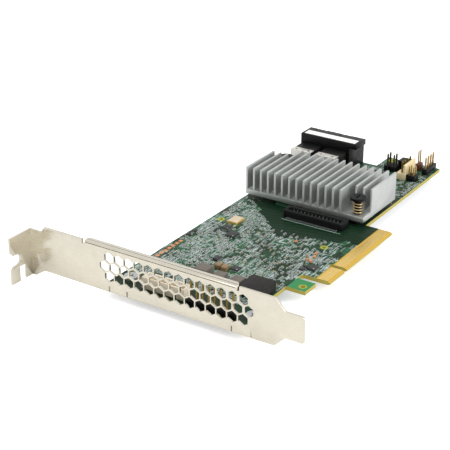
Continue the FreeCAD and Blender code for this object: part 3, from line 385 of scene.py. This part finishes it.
def finishes():
    """Every finish of the card, made once and then found by name."""
    if "solder_mask" in bpy.data.materials:
        return bpy.data.materials
    tints = colours()
    solder_mask()
    # The bracket's nickel carries the painted shade of the lip's folds.
    plated("nickel_plate", tints.nickel, 0.19, 1.0, 0.03, "y", painted_fold_shade)
    plated("brushed_aluminium", tints.aluminium, 0.38, 0.85, 0.4, "x")
    plated("contact_gold", tints.gold, 0.24, 0.8, 0.2, "y")
    plated("pin_gold", shade(200, 168, 104), 0.28, 0.75, 0.2, "z")
    plated("bare_copper", tints.copper, 0.32, 0.6, 0.2, "y")
    plated("bright_tin", tints.tin, 0.3, 0.7, 0.2, "y")
    plated("spring_brass", tints.brass, 0.28, 0.8, 0.2, "z")
    plated("cover_tin", shade(216, 214, 206), 0.36, 0.7, 0.3, "y")
    plated("screw_zinc", darker(tints.tin, 0.85), 0.3, 0.85, 0.2, "x")
    moulded("black_moulding", tints.black, 0.42, 0.35, 0.2)
    moulded("pin_nylon", darker(tints.black, 0.8), 0.4, 0.2, 0.15)
    moulded("chip_epoxy", tints.epoxy, 0.55, 0.5, 0.15)
    moulded("cream_moulding", tints.cream, 0.45)
    moulded("pale_moulding", shade(222, 212, 192), 0.45)
    moulded("brown_moulding", tints.brown, 0.4)
    moulded("pressed_ferrite", tints.ferrite, 0.55, 0.6, 0.15)
    moulded("pressed_iron", tints.core, 0.6, 0.8)
    moulded("bare_laminate", shade(150, 158, 56), 0.5, 0.3)
    moulded("fired_ceramic", tints.ceramic, 0.4, 0.3)
    moulded("resistor_glaze", darker(tints.epoxy, 0.8), 0.25, 0.1)
    moulded("tan_resin", tints.resin, 0.35, 0.2)
    moulded("label_paper", tints.paper, 0.7, 0.3)
    moulded("printed_ink", tints.ink, 0.6, 0.2)
    moulded("green_substrate", tints.mask_copper, 0.4, 0.2)
    moulded("grey_pad", shade(128, 132, 140), 0.8, 0.5)
    plated("clock_metal", shade(214, 196, 168), 0.38, 0.5, 0.2, "x")
    # Two darker copies of the pin gold, painted shade for pins in shadow, the service pins behind the bracket
    # most of all; the second also darkens the lock header's pins.
    plated("shaded_pin", shade(92, 84, 52), 0.3, 0.8, 0.2, "z")
    plated("dull_pin", shade(140, 120, 62), 0.34, 0.8, 0.2, "z")
    moulded("fired_clay", shade(198, 138, 96), 0.45, 0.3)
    return bpy.data.materials


# ------------------------ pieces
def show(name, mesh, finish, replaced=()):
    """A finished piece of the card, with its finish and the CAD nodes it stands for."""
    if finish:
        mesh.materials.clear()
        mesh.materials.append(finishes()[finish])
    piece = bpy.data.objects.new(name, mesh)
    bpy.context.scene.collection.objects.link(piece)
    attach(piece, "root")
    if replaced:
        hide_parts(*replaced)
    return piece


def coat(finish, *names):
    """The same finish on CAD nodes whose shape is already right."""
    for name in names:
        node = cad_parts[name]
        for holder in node.material_slots:
            holder.material = finishes()[finish]


WELD = 2e-6
BEVEL_ABOVE, SHARP_ABOVE = 38.0, 32.0


def eased(node, finish, width=None):
    """A copy of a CAD node with its sharp edges rounded, shown in its place."""
    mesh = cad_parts[node].data.copy()
    mesh.name = f"{node}_eased"
    shell = bmesh.new()
    shell.from_mesh(mesh)
    bmesh.ops.remove_doubles(shell, verts=shell.verts, dist=WELD)
    bmesh.ops.dissolve_limit(shell, angle_limit=math.radians(0.6), verts=shell.verts, edges=shell.edges)
    bmesh.ops.triangulate(shell, faces=[f for f in shell.faces if len(f.verts) > 4])
    shell.to_mesh(mesh)
    shell.free()
    piece = show(f"{node}_finished", mesh, finish, (node,))
    bevel = piece.modifiers.new("edges", "BEVEL")
    bevel.width = width or sizes().edge_round
    bevel.segments = 2
    bevel.limit_method = "ANGLE"
    bevel.angle_limit = math.radians(BEVEL_ABOVE)
    bevel.use_clamp_overlap = True
    apply(piece)
    for face in piece.data.polygons:
        face.use_smooth = True
    piece.data.set_sharp_from_angle(angle=math.radians(SHARP_ABOVE))
    return piece


def over(low, high, level):
    """The middle of a box seen from above, at the level given."""
    return Vector(((low[0] + high[0]) / 2, (low[1] + high[1]) / 2, level))


def apply(piece):
    """The piece's modifiers turned into plain mesh."""
    graph = bpy.context.evaluated_depsgraph_get()
    mesh = bpy.data.meshes.new_from_object(piece.evaluated_get(graph), depsgraph=graph)
    piece.modifiers.clear()
    piece.data = mesh
    return piece


def islands(node):
    """The box of each separate solid in a CAD node, as (lowest, highest) corners, in the mesh's order."""
    shell = bmesh.new()
    shell.from_mesh(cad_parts[node].data)
    bmesh.ops.remove_doubles(shell, verts=shell.verts, dist=WELD)
    boxes = []
    left = set(shell.verts)
    for first in shell.verts:
        if first not in left:
            continue
        left.discard(first)
        stack = [first]
        found = [first]
        while stack:
            for edge in stack.pop().link_edges:
                for vertex in edge.verts:
                    if vertex in left:
                        left.discard(vertex)
                        stack.append(vertex)
                        found.append(vertex)
        places = [v.co.copy() for v in found]
        boxes.append((Vector(map(min, zip(*places))), Vector(map(max, zip(*places)))))
    shell.free()
    return boxes


# ------------------------ geometry node trees and bakes
def new_tree(name, inputs):
    """An empty tree with points coming in, named sizes and a finish, and geometry going out."""
    tree = bpy.data.node_groups.new(name, "GeometryNodeTree")
    tree.interface.new_socket("Points", in_out="INPUT", socket_type="NodeSocketGeometry")
    for label, value in inputs.items():
        kind = "NodeSocketInt" if isinstance(value, int) else "NodeSocketFloat"
        tree.interface.new_socket(label, in_out="INPUT", socket_type=kind).default_value = value
    tree.interface.new_socket("Finish", in_out="INPUT", socket_type="NodeSocketMaterial")
    tree.interface.new_socket("Geometry", in_out="OUTPUT", socket_type="NodeSocketGeometry")
    return tree


class Grower(Wiring):
    """Short calls for wiring a geometry tree."""

    def __init__(self, tree):
        super().__init__(tree)
        self.given = tree.nodes.new("NodeGroupInput").outputs
        self.made = tree.nodes.new("NodeGroupOutput")

    def vector(self, x=0.0, y=0.0, z=0.0):
        return self.node("ShaderNodeCombineXYZ", {0: x, 1: y, 2: z}).outputs[0]

    def moved(self, geometry, vector):
        return self.node("GeometryNodeTransform", {"Geometry": geometry, "Translation": vector}).outputs[0]

    def joined(self, *parts):
        join = self.node("GeometryNodeJoinGeometry")
        for part in reversed(parts):
            self.tree.links.new(part, join.inputs[0])
        return join.outputs[0]

    def finish(self, instance):
        """The instance on every point, turned and sized as the points say, made real and given its finish."""
        turn, size = (self.node("GeometryNodeInputNamedAttribute", {"Name": name}, data_type="FLOAT").outputs[0]
                      for name in ("turn", "size"))
        placed = self.node("GeometryNodeInstanceOnPoints", {
            "Points": self.given["Points"], "Instance": instance,
            "Rotation": self.vector(0.0, 0.0, turn), "Scale": self.vector(size, size, size)}).outputs[0]
        real = self.node("GeometryNodeRealizeInstances", {0: placed}).outputs[0]
        done = self.node("GeometryNodeSetMaterial", {"Geometry": real, "Material": self.given["Finish"]})
        self.tree.links.new(done.outputs[0], self.made.inputs[0])


def block_tree(name, pair):
    """One block, or two at equal distances either side, standing on every point."""
    tree = new_tree(name, {"Length": 1.0, "Width": 1.0, "Height": 1.0, "Lift": 0.0, "Spread": 0.0})
    grow = Grower(tree)
    given = grow.given
    block = grow.node("GeometryNodeMeshCube", {"Size": grow.vector(given["Length"], given["Width"],
                                                                   given["Height"])})
    rise = grow.maths("ADD", given["Lift"], grow.maths("MULTIPLY", given["Height"], 0.5))
    near = grow.moved(block.outputs["Mesh"], grow.vector(given["Spread"], 0.0, rise))
    if pair:
        back = grow.maths("MULTIPLY", given["Spread"], -1.0)
        near = grow.joined(near, grow.moved(block.outputs["Mesh"], grow.vector(back, 0.0, rise)))
    grow.finish(near)
    return tree


def cone_tree(name):
    """A round cone or disc standing on every point."""
    tree = new_tree(name, {"Base radius": 1.0, "Top radius": 1.0, "Height": 1.0, "Lift": 0.0, "Sides": 12})
    grow = Grower(tree)
    given = grow.given
    cone = grow.node("GeometryNodeMeshCone", {
        "Vertices": given["Sides"], "Radius Bottom": given["Base radius"],
        "Radius Top": given["Top radius"], "Depth": given["Height"]})
    grow.finish(grow.moved(cone.outputs["Mesh"], grow.vector(0.0, 0.0, given["Lift"])))
    return tree


def coil_tree(name):
    """A round wire wound into a spring above every point."""
    tree = new_tree(name, {"Turns": 5.0, "Radius": 1.0, "Height": 1.0, "Wire": 0.1})
    grow = Grower(tree)
    given = grow.given
    wound = grow.node("GeometryNodeCurveSpiral", {
        "Resolution": 28, "Rotations": given["Turns"], "Start Radius": given["Radius"],
        "End Radius": given["Radius"], "Height": given["Height"]})
    ring = grow.node("GeometryNodeCurvePrimitiveCircle", {"Resolution": 10, "Radius": given["Wire"]})
    wire = grow.node("GeometryNodeCurveToMesh", {"Curve": wound.outputs[0], "Profile Curve": ring.outputs[0],
                                                 "Fill Caps": True})
    grow.finish(wire.outputs[0])
    return tree


def tree_named(name):
    makers = {"single_block": lambda n: block_tree(n, False), "twin_block": lambda n: block_tree(n, True),
              "round_stub": cone_tree, "wound_spring": coil_tree}
    return bpy.data.node_groups.get(name) or makers[name](name)


def repeat(name, tree_name, spots, values, finish, replaced=()):
    """A repeated little part on each spot, as one plain mesh. A spot is (place, turn, size)."""
    mesh = bpy.data.meshes.new(name)
    mesh.from_pydata([spot[0] for spot in spots], [], [])
    for index, label in ((1, "turn"), (2, "size")):
        values_there = mesh.attributes.new(label, "FLOAT", "POINT").data
        values_there.foreach_set("value", [spot[index] for spot in spots])
    tree = tree_named(tree_name)
    piece = bpy.data.objects.new(name, mesh)
    bpy.context.scene.collection.objects.link(piece)
    modifier = piece.modifiers.new(name, "NODES")
    modifier.node_group = tree
    for socket in tree.interface.items_tree:
        if socket.in_out == "INPUT" and socket.name in values:
            modifier[socket.identifier] = values[socket.name]
        if socket.in_out == "INPUT" and socket.name == "Finish":
            modifier[socket.identifier] = finishes()[finish]
    graph = bpy.context.evaluated_depsgraph_get()
    baked = bpy.data.meshes.new_from_object(piece.evaluated_get(graph), depsgraph=graph)
    bpy.data.objects.remove(piece)
    for label in ("turn", "size"):
        if label in baked.attributes:
            baked.attributes.remove(baked.attributes[label])
    if tree_name in ("wound_spring", "round_stub"):
        for face in baked.polygons:
            face.use_smooth = True
        baked.set_sharp_from_angle(angle=math.radians(40))
    return show(name, baked, finish, replaced)


def blocks(name, spots, long, wide, tall, finish):
    """A plain block on each spot, all of one size in millimetres."""
    repeat(name, "single_block", spots, {"Length": long * MM, "Width": wide * MM, "Height": tall * MM},
           finish)


# ------------------------ where small parts go
# Bored holes with a bare ring: place, bore and outside of the ring. The last is in the hook.
RINGED_HOLES = ((70.2, 31.5, 1.5, 3.2), (70.2, 79.4, 1.5, 3.2), (165.6, 49.7, 1.5, 3.3), (37.4, 22.0, 1.9, 3.2))
RING_THICK, RING_SIDES = 0.03, 36
# Two small chips at the far end of the board.
FAR_CHIP_X, FAR_CHIP_YS = 147.0, (45.4, 50.6)
# Places and half widths that small parts keep clear of: the ringed holes, a copper dot, the far chips, the
# push pins and the bracket's screws.
KEPT_CLEAR = ((70.2, 31.5, 1.8), (70.2, 79.4, 1.8), (165.6, 49.7, 2.0), (69.2, 43.5, 1.4),
              *((FAR_CHIP_X, y, 2.6) for y in FAR_CHIP_YS), (97.6, 31.6, 3.4), (119.3, 78.1, 3.4),
              (8.0, 24.7, 3.6), (8.0, 78.0, 3.6))
SMALL_PART_MARGIN, VIA_MARGIN = 0.45, 0.2


def taken(margin, top=True):
    """Rectangles on one face of the board that other parts already cover."""
    level = BOARD_HIGH[2] if top else BOARD_LOW[2]
    found = []
    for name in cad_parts:
        if name in ("circuit_board", "mounting_bracket", "edge_contacts", "heat_sink"):
            continue
        low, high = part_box(name)
        if low[2] - 0.4 * MM < level < high[2] + 0.4 * MM:
            boxes = islands(name) if name.startswith(("chip_", "test_")) else [(low, high)]
            found += [(a[0] - margin * MM, a[1] - margin * MM, b[0] + margin * MM, b[1] + margin * MM)
                      for a, b in boxes]
    for x, y, reach in KEPT_CLEAR:
        spot = at(x, y)
        half = reach * MM
        found.append((spot[0] - half, spot[1] - half, spot[0] + half, spot[1] + half))
    return found


def free(x, y, half, rectangles):
    return all(x + half < a or x - half > c or y + half < b or y - half > d for a, b, c, d in rectangles)


# Fields of small parts on the component face: x from, to, y from, to, and the share that is filled.
TOP_FIELDS = ((14.5, SINK_FRONT, 29.0, 82.6, 0.80), (47.5, 62.0, 23.0, 29.0, 0.6),
              (86.0, 96.0, 28.6, 31.4, 0.4), (124.2, 130.0, 30.0, 81.5, 0.35),
              (131.0, 156.0, 28.6, 54.6, 0.62), (157.5, 168.0, 32.5, 52.0, 0.45))
# The same for the solder face.
BACK_FIELDS = ((92.0, 121.5, 38.0, 72.0, 0.75), (18.0, 60.0, 34.0, 70.0, 0.35), (64.0, 88.0, 30.0, 78.0, 0.25),
               (140.0, 155.0, 30.0, 80.0, 0.35))


def scattered(fields, top, seed):
    """Spots in rows along the board, some empty and some turned, clear of the larger parts."""
    dice = random.Random(seed)
    size = sizes()
    blocked = taken(SMALL_PART_MARGIN, top)
    level = 0.0 if top else (BOARD_LOW[2] - BOARD_HIGH[2]) / MM
    spots = []
    for x0, x1, y0, y1, share in fields:
        y = y0
        while y < y1:
            x = x0 + dice.uniform(0.0, 1.2)
            while x < x1:
                place = at(x, y + dice.uniform(-0.12, 0.12), level)
                bare = top and clear_from(y) - 0.5 < x < SINK_FRONT and x0 < CLEAR_X
                if dice.random() < share and not bare and free(place[0], place[1], 0.75 * MM, blocked):
                    turn = math.pi / 2 if dice.random() < 0.22 else 0.0
                    spots.append((place, turn, dice.uniform(0.92, 1.12)))
                x += size.column_pitch / MM * dice.choice((0.8, 1.0, 1.0, 1.5))
            y += size.row_pitch / MM
    dice.shuffle(spots)
    return spots


def chip_family(name, spots, scale, tall, body, top):
    """Bodies and tinned ends of one kind of chip part."""
    size = sizes()
    long, wide, end = size.chip_long * scale, size.chip_wide * scale, size.chip_end * scale
    lift = 0.0 if top else -tall
    middle = {"Length": long - 2 * end, "Width": wide * 0.94, "Height": tall * 0.95, "Spread": 0.0,
              "Lift": lift * 0.95}
    ends = {"Length": end, "Width": wide, "Height": tall, "Lift": lift, "Spread": (long - end) / 2}
    pads = {"Length": end * 1.9, "Width": wide * 1.12, "Height": tall * 0.14, "Spread": (long - end * 0.5) / 2,
            "Lift": 0.0 if top else -tall * 0.14}
    repeat(f"{name}_bodies", "single_block", spots, middle, body)
    repeat(f"{name}_ends", "twin_block", spots, ends, "bright_tin")
    repeat(f"{name}_fillets", "twin_block", spots, pads, "bright_tin")


# ------------------------ operators
class CardOperator:
    """Common part of the card's operators."""
    bl_options = {"REGISTER", "UNDO"}

    def execute(self, context):
        self.build()
        return {"FINISHED"}


class CARD_OT_board(CardOperator, bpy.types.Operator):
    """Finish the board, its gold edge contacts, copper pads, hole rings and vias"""
    bl_idname = "card.board"
    bl_label = "Board"

    def build(self):
        coat("solder_mask", "circuit_board")
        coat("contact_gold", "edge_contacts")
        coat("bare_copper", "test_pads")
        rings = []
        for x, y, bore, width in RINGED_HOLES:
            for level in (0.0, -BOARD_THICK - RING_THICK):
                rings.append((at(x, y, level), bore * MM / 2, width * MM / 2))
        show("hole_rings", ring_mesh("hole_rings", rings), "bare_laminate")
        repeat("fiducial_dots", "round_stub", [(at(69.2, 43.5), 0.0, 1.0), (at(149.0, 57.6), 0.0, 1.0),
               (at(60.2, 33.4), 0.0, 0.8)], {"Base radius": 0.8 * MM, "Top radius": 0.78 * MM,
               "Height": 0.05 * MM, "Sides": 20}, "bare_copper")
        dice = random.Random(11)
        blocked = taken(VIA_MARGIN)
        for face, level, lift in (("top", 0.0, 0.0), ("back", -BOARD_THICK, -0.015)):
            spots = []
            while len(spots) < sizes().via_count:
                x, y = dice.uniform(14.0, 155.0), dice.uniform(28.5, 82.8)
                place = at(x, y, level)
                if not clear_from(y) < x < SINK_FRONT and free(place[0], place[1], 0.2 * MM, blocked):
                    spots.append((place, 0.0, dice.uniform(0.8, 1.2)))
            repeat(f"vias_{face}", "round_stub", spots, {"Base radius": 0.2 * MM, "Top radius": 0.19 * MM,
                   "Height": 0.015 * MM, "Lift": lift * MM, "Sides": 8}, "contact_gold")


def ring_mesh(name, rings):
    """Flat plated rings, each (centre, inner radius, outer radius)."""
    shell = bmesh.new()
    for centre, inner, outer in rings:
        loops = []
        thick = RING_THICK * MM
        for radius, rise in ((inner, 0.0), (outer, 0.0), (outer, thick), (inner, thick)):
            turns = [2 * math.pi * k / RING_SIDES for k in range(RING_SIDES)]
            places = [Vector((radius * math.cos(t), radius * math.sin(t), rise)) for t in turns]
            loops.append([shell.verts.new(centre + place) for place in places])
        for near, far in zip(loops, loops[1:] + loops[:1]):
            for k in range(RING_SIDES):
                after = (k + 1) % RING_SIDES
                shell.faces.new((near[k], far[k], far[after], near[after]))
    bmesh.ops.recalc_face_normals(shell, faces=shell.faces)
    mesh = bpy.data.meshes.new(name)
    shell.to_mesh(mesh)
    shell.free()
    return mesh


class CARD_OT_bracket(CardOperator, bpy.types.Operator):
    """Finish the folded bracket and its two screws"""
    bl_idname = "card.bracket"
    bl_label = "Bracket"

    def build(self):
        eased("mounting_bracket", "nickel_plate", 0.1 * MM)
        eased("bracket_screws", "screw_zinc", 0.1 * MM)


SPRING_TURNS, SPRING_RADIUS = 4.5, 2.1


class CARD_OT_heat_sink(CardOperator, bpy.types.Operator):
    """Finish the heat sink, its push pins and what it cools, and wind the springs"""
    bl_idname = "card.heat_sink"
    bl_label = "Heat sink"

    def build(self):
        eased("heat_sink", "brushed_aluminium", 0.09 * MM)
        for place in ("front", "rear"):
            eased(f"push_pin_{place}", "pin_nylon", 0.1 * MM)
        low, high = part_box("push_pin_spring_front")
        wire = sizes().wire_radius
        spots = []
        for place in ("front", "rear"):
            a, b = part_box(f"push_pin_{place}")
            spots.append((over(a, b, low[2] + wire), 0.0, 1.0))
        repeat("coil_springs", "wound_spring", spots, {
            "Turns": SPRING_TURNS, "Radius": SPRING_RADIUS * MM - wire, "Wire": wire,
            "Height": high[2] - low[2] - 2 * wire}, "spring_brass",
            ("push_pin_spring_front", "push_pin_spring_rear"))
        coat("green_substrate", "controller_substrate")
        coat("bright_tin", "controller_lid")
        coat("grey_pad", "thermal_pad")


class CARD_OT_ports(CardOperator, bpy.types.Operator):
    """Finish the storage ports, the guide block and its label, and the mezzanine socket"""
    bl_idname = "card.ports"
    bl_label = "Storage ports"

    def build(self):
        for port in ("port_low", "port_high"):
            eased(f"{port}_housing", "black_moulding", 0.15 * MM)
            eased(f"{port}_cover_plate", "cover_tin", 0.04 * MM)
        eased("port_guide", "black_moulding", 0.18 * MM)
        coat("label_paper", "blank_label")
        eased("mezzanine_socket", "black_moulding", 0.1 * MM)
        coat("bright_tin", "mezzanine_contacts")
        blocks("socket_print", [(at(84.3, 45.6), 0.0, 1.0)], 0.16, 27, 0.02, "printed_ink")
        coat("contact_gold", "port_low_contacts", "port_high_contacts")


# Width of a header's pin that has a joint of full size, and darker golds that paint shade on pins in shadow.
PIN_WIDE = 0.64
PLATINGS = {"jumper": "shaded_pin", "service": "dull_pin", "lock": "dull_pin"}


class CARD_OT_headers(CardOperator, bpy.types.Operator):
    """Finish the pin headers and solder their pins on the back"""
    bl_idname = "card.headers"
    bl_label = "Headers"

    def build(self):
        joints = []
        for name in sorted(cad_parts):
            if name.endswith("_pins"):
                coat(PLATINGS.get(name.split("_")[0], "pin_gold"), name)
                joints += [(over(a, b, BOARD_LOW[2]), 0.0, (b[0] - a[0]) / (PIN_WIDE * MM))
                           for a, b in islands(name)]
            elif name.startswith(("lock_header", "shroud_header")):
                eased(name, "cream_moulding" if name.startswith("lock") else "pale_moulding", 0.1 * MM)
            elif name.endswith("header_base") or name.endswith(("high_base", "low_base")):
                eased(name, "brown_moulding" if name.startswith("tall") else "black_moulding", 0.12 * MM)
        eased("alarm_buzzer", "black_moulding", 0.2 * MM)
        radius = sizes().joint_radius
        repeat("back_joints", "round_stub", joints, {"Base radius": radius * 0.55, "Top radius": radius,
               "Height": 0.6 * MM, "Lift": -0.6 * MM, "Sides": 14}, "bright_tin")


# Leaded packages: node, pitch and width of a lead, how far leads reach, and which sides have them.
LEADED = (("flash_chip", 1.27, 0.42, 0.9, "x"), ("expander_chip", 0.65, 0.28, 0.6, "y"),
          ("regulator_chip", 0.5, 0.24, 0.25, "xy"), ("power_switch_chip", 0.65, 0.3, 0.5, "y"),
          ("monitor_chip", 0.5, 0.24, 0.22, "xy"))


def lead_spots(node, pitch, reach, sides):
    """Places along a package's sides where its leads stand, turned to face outwards."""
    low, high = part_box(node)
    spots = []
    for axis in sides:
        run = 1 if axis == "x" else 0
        side = 1 - run
        count = int((high[run] - low[run] - 0.4 * MM) / (pitch * MM)) + 1
        start = (low[run] + high[run] - (count - 1) * pitch * MM) / 2
        for index in range(count):
            for edge, sign in ((low[side], -1), (high[side], 1)):
                place = Vector((0.0, 0.0, BOARD_HIGH[2]))
                place[run] = start + index * pitch * MM
                place[side] = edge + sign * reach * MM / 2
                spots.append((place, 0.0 if side == 0 else math.pi / 2, 1.0))
    return spots


def shank_spots(node, feet, reach):
    """The places of the leads' feet, drawn in towards the package to where the leads come down."""
    low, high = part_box(node)
    shanks = []
    for foot, turn, size in feet:
        side = 0 if math.isclose(turn, 0.0) else 1
        place = foot.copy()
        place[side] -= math.copysign(reach * MM * 0.3, foot[side] - (low[side] + high[side]) / 2)
        shanks.append((place, turn, size))
    return shanks


class CARD_OT_packages(CardOperator, bpy.types.Operator):
    """Finish chips, inductors, capacitors and the oscillator, with their leads"""
    bl_idname = "card.packages"
    bl_label = "Packages"

    def build(self):
        for node, pitch, wide, reach, sides in LEADED:
            eased(node, "chip_epoxy", 0.06 * MM)
            spots = lead_spots(node, pitch, reach, sides)
            blocks(f"{node}_feet", spots, reach, wide, 0.12, "bright_tin")
            low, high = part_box(node)
            rise = (high[2] - low[2]) * 0.45
            blocks(f"{node}_shanks", shank_spots(node, spots, reach), 0.14, wide, rise / MM,
                   "bright_tin")
        for number in range(1, 6):
            eased(f"memory_chip_{number}", "chip_epoxy", 0.06 * MM)
        eased("large_power_inductor", "pressed_ferrite", 0.15 * MM)
        for place in ("near", "middle", "far"):
            eased(f"power_inductor_{place}", "pressed_iron", 0.18 * MM)
        eased("bulk_capacitors", "tan_resin", 0.18 * MM)
        coat("contact_gold", "oscillator_base")
        eased("oscillator_lid", "clock_metal", 0.14 * MM)
        marks = []
        for node in ("flash_chip", "expander_chip", "regulator_chip", "monitor_chip"):
            low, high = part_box(node)
            marks.append((Vector((low[0] + 0.55 * MM, low[1] + 0.55 * MM, high[2])), 0.0, 1.0))
        repeat("first_pin_dots", "round_stub", marks, {"Base radius": 0.22 * MM, "Top radius": 0.2 * MM,
               "Height": 0.02 * MM, "Sides": 16}, "printed_ink")


DIODES = ((54.6, 81.6, 0.0), (50.6, 81.9, 0.0), (48.6, 28.9, math.pi / 2), (51.4, 28.9, math.pi / 2))
CLAY_CAPACITORS = ((56.4, 29.6), (57.0, 31.4), (60.4, 30.2), (63.2, 31.0))


class CARD_OT_small_parts(CardOperator, bpy.types.Operator):
    """Lay out the rows of chip resistors and capacitors, with the ink printed round them"""
    bl_idname = "card.small_parts"
    bl_label = "Small parts"

    def build(self):
        size = sizes()
        for node, scale, body in (("chip_capacitors", 1.6, "fired_ceramic"),
                                  ("chip_resistors", 1.0, "resistor_glaze")):
            boxes = islands(node)
            spots = [(over(a, b, a[2]), 0.0, 1.0) for a, b in boxes]
            long, wide, tall = boxes[0][1] - boxes[0][0]
            end = size.chip_end * scale
            repeat(f"{node}_bodies", "single_block", spots, {"Length": long - 2 * end, "Width": wide * 0.94,
                   "Height": tall * 0.95}, body, (node,))
            repeat(f"{node}_ends", "twin_block", spots, {"Length": end, "Width": wide, "Height": tall,
                   "Spread": (long - end) / 2}, "bright_tin")
        blocks("black_diodes", [(at(x, y), turn, 1.0) for x, y, turn in DIODES],
               1.9, 1.2, 0.8, "chip_epoxy")
        blocks("far_chips", [(at(FAR_CHIP_X, y), 0.0, 1.0) for y in FAR_CHIP_YS],
               4.2, 3.4, 1.2, "chip_epoxy")
        blocks("clay_capacitors", [(at(x, y), 0.0, 1.0) for x, y in CLAY_CAPACITORS],
               1.5, 0.8, 0.7, "fired_clay")
        for face, fields, top, seed in (("top", TOP_FIELDS, True, 5), ("back", BACK_FIELDS, False, 7)):
            spots = scattered(fields, top, seed)
            half = len(spots) // 2
            most = int(len(spots) * 0.85)
            chip_family(f"{face}_capacitors", spots[:half], 1.0, size.chip_tall, "fired_ceramic", top)
            chip_family(f"{face}_resistors", spots[half:most], 1.0, size.chip_tall * 0.75,
                        "resistor_glaze", top)
            chip_family(f"{face}_filters", spots[most:], 1.3, size.chip_tall * 1.2, "fired_ceramic", top)
            turned = [(p, t + math.pi / 2, s) for p, t, s in spots]
            repeat(f"{face}_printed_sides", "twin_block", turned, {"Length": size.ink_wide,
                   "Width": size.chip_long * 1.5, "Height": 0.02 * MM, "Spread": 0.52 * MM,
                   "Lift": 0.0 if top else -0.02 * MM}, "printed_ink")


# Each lamp's name, place in metres, width and power; all face the origin.
LAMPS = (("top_lamp", (-0.15, 0.15, 1.0), 0.9, 7.5), ("side_lamp", (0.25, -0.95, 0.55), 0.7, 9.0),
         ("front_lamp", (-0.95, -0.15, 0.6), 0.7, 2.6))
CAMERA_PLACE, CAMERA_WAY, CAMERA_LENS = (-0.39449, -0.23606, 0.21895), (0.7577, 0.4976, -0.4221), 100.06
FLOOR_REACH = 3.0


class CARD_OT_stage(CardOperator, bpy.types.Operator):
    """Set up the floor, the soft lamps and the camera"""
    bl_idname = "card.stage"
    bl_label = "Stage"

    def build(self):
        self.sky()
        mesh = bpy.data.meshes.new("floor")
        corners = [(x * FLOOR_REACH, y * FLOOR_REACH, 0) for x, y in ((-1, -1), (1, -1), (1, 1), (-1, 1))]
        mesh.from_pydata(corners, [], [(0, 1, 2, 3)])
        floor = bpy.data.objects.new("floor", mesh)
        bpy.context.scene.collection.objects.link(floor)
        mesh.materials.append(self.floor_finish())
        for name, place, width, power in LAMPS:
            lamp = bpy.data.lights.new(name, "AREA")
            lamp.size = width
            lamp.energy = power
            holder = bpy.data.objects.new(name, lamp)
            holder.location = place
            holder.rotation_euler = (-Vector(place)).to_track_quat("-Z", "Y").to_euler()
            holder.visible_glossy = name != "top_lamp"
            bpy.context.scene.collection.objects.link(holder)
        self.camera()
        bpy.context.scene.view_settings.view_transform = "Standard"

    def sky(self):
        """Faint white all round, seen at full strength by the eye and in whatever mirrors it."""
        world = bpy.data.worlds.new("studio")
        bpy.context.scene.world = world
        world.use_nodes = True
        wiring = Wiring(world.node_tree)
        white = (1.0, 1.0, 1.0, 1)
        soft = world.node_tree.nodes["Background"]
        soft.inputs["Color"].default_value = white
        soft.inputs["Strength"].default_value = 0.32
        seen = wiring.node("ShaderNodeBackground", {"Color": white})
        path = wiring.node("ShaderNodeLightPath")
        either = wiring.maths("MAXIMUM", path.outputs["Is Camera Ray"], path.outputs["Is Glossy Ray"])
        blend = wiring.node("ShaderNodeMixShader", {0: either, 1: soft.outputs[0], 2: seen.outputs[0]})
        wiring.tree.links.new(blend.outputs[0], world.node_tree.nodes["World Output"].inputs["Surface"])

    def floor_finish(self):
        """Pale matt floor, lit a little more for the eye than for what mirrors it."""
        made = Finish("studio_floor", colours().floor, 0.9, 0.0, 0.0)
        faint = made.noise(0.004, 2.0)
        made.colour(made.mix(faint, darker(colours().floor, 0.985), colours().floor))
        path = made.node("ShaderNodeLightPath")
        seen = made.maths("MULTIPLY", path.outputs["Is Camera Ray"], 0.5)
        mirrored = made.maths("MULTIPLY", path.outputs["Is Glossy Ray"], 0.05)
        glow = made.node("ShaderNodeEmission", {"Strength": made.maths("ADD", seen, mirrored)})
        both = made.node("ShaderNodeAddShader", {0: made.shader.outputs[0], 1: glow.outputs[0]})
        made.tree.links.new(both.outputs[0], made.tree.nodes["Material Output"].inputs["Surface"])
        return made.material

    def camera(self):
        lens = bpy.data.cameras.new("camera")
        lens.lens = CAMERA_LENS
        lens.sensor_width = 36.0
        lens.clip_start = 0.01
        holder = bpy.data.objects.new("camera", lens)
        holder.location = CAMERA_PLACE
        holder.rotation_euler = Vector(CAMERA_WAY).to_track_quat("-Z", "Y").to_euler()
        bpy.context.scene.collection.objects.link(holder)
        bpy.context.scene.camera = holder


OPERATORS = (CARD_OT_board, CARD_OT_bracket, CARD_OT_heat_sink, CARD_OT_ports, CARD_OT_headers,
             CARD_OT_packages, CARD_OT_small_parts, CARD_OT_stage)


class CARD_PT_panel(bpy.types.Panel):
    """Lists the card's sizes, colours and operators"""
    bl_label = "Controller card"
    bl_idname = "CARD_PT_panel"
    bl_space_type = "VIEW_3D"
    bl_region_type = "UI"
    bl_category = "Card"

    def draw(self, context):
        for group in (context.scene.card_sizes, context.scene.card_colours):
            for name in group.bl_rna.properties.keys():
                if name not in ("rna_type", "name"):
                    self.layout.prop(group, name)
        for operator in OPERATORS:
            self.layout.operator(operator.bl_idname)


CLASSES = (CardSizes, CardColours, *OPERATORS, CARD_PT_panel)


def register():
    for each in CLASSES:
        bpy.utils.register_class(each)
    bpy.types.Scene.card_sizes = PointerProperty(type=CardSizes)
    bpy.types.Scene.card_colours = PointerProperty(type=CardColours)


def unregister():
    del bpy.types.Scene.card_colours
    del bpy.types.Scene.card_sizes
    for each in reversed(CLASSES):
        bpy.utils.unregister_class(each)


def main():
    register()
    for operator in OPERATORS:
        group, name = operator.bl_idname.split(".")
        getattr(getattr(bpy.ops, group), name)()


if __name__ == "__main__":
    main()
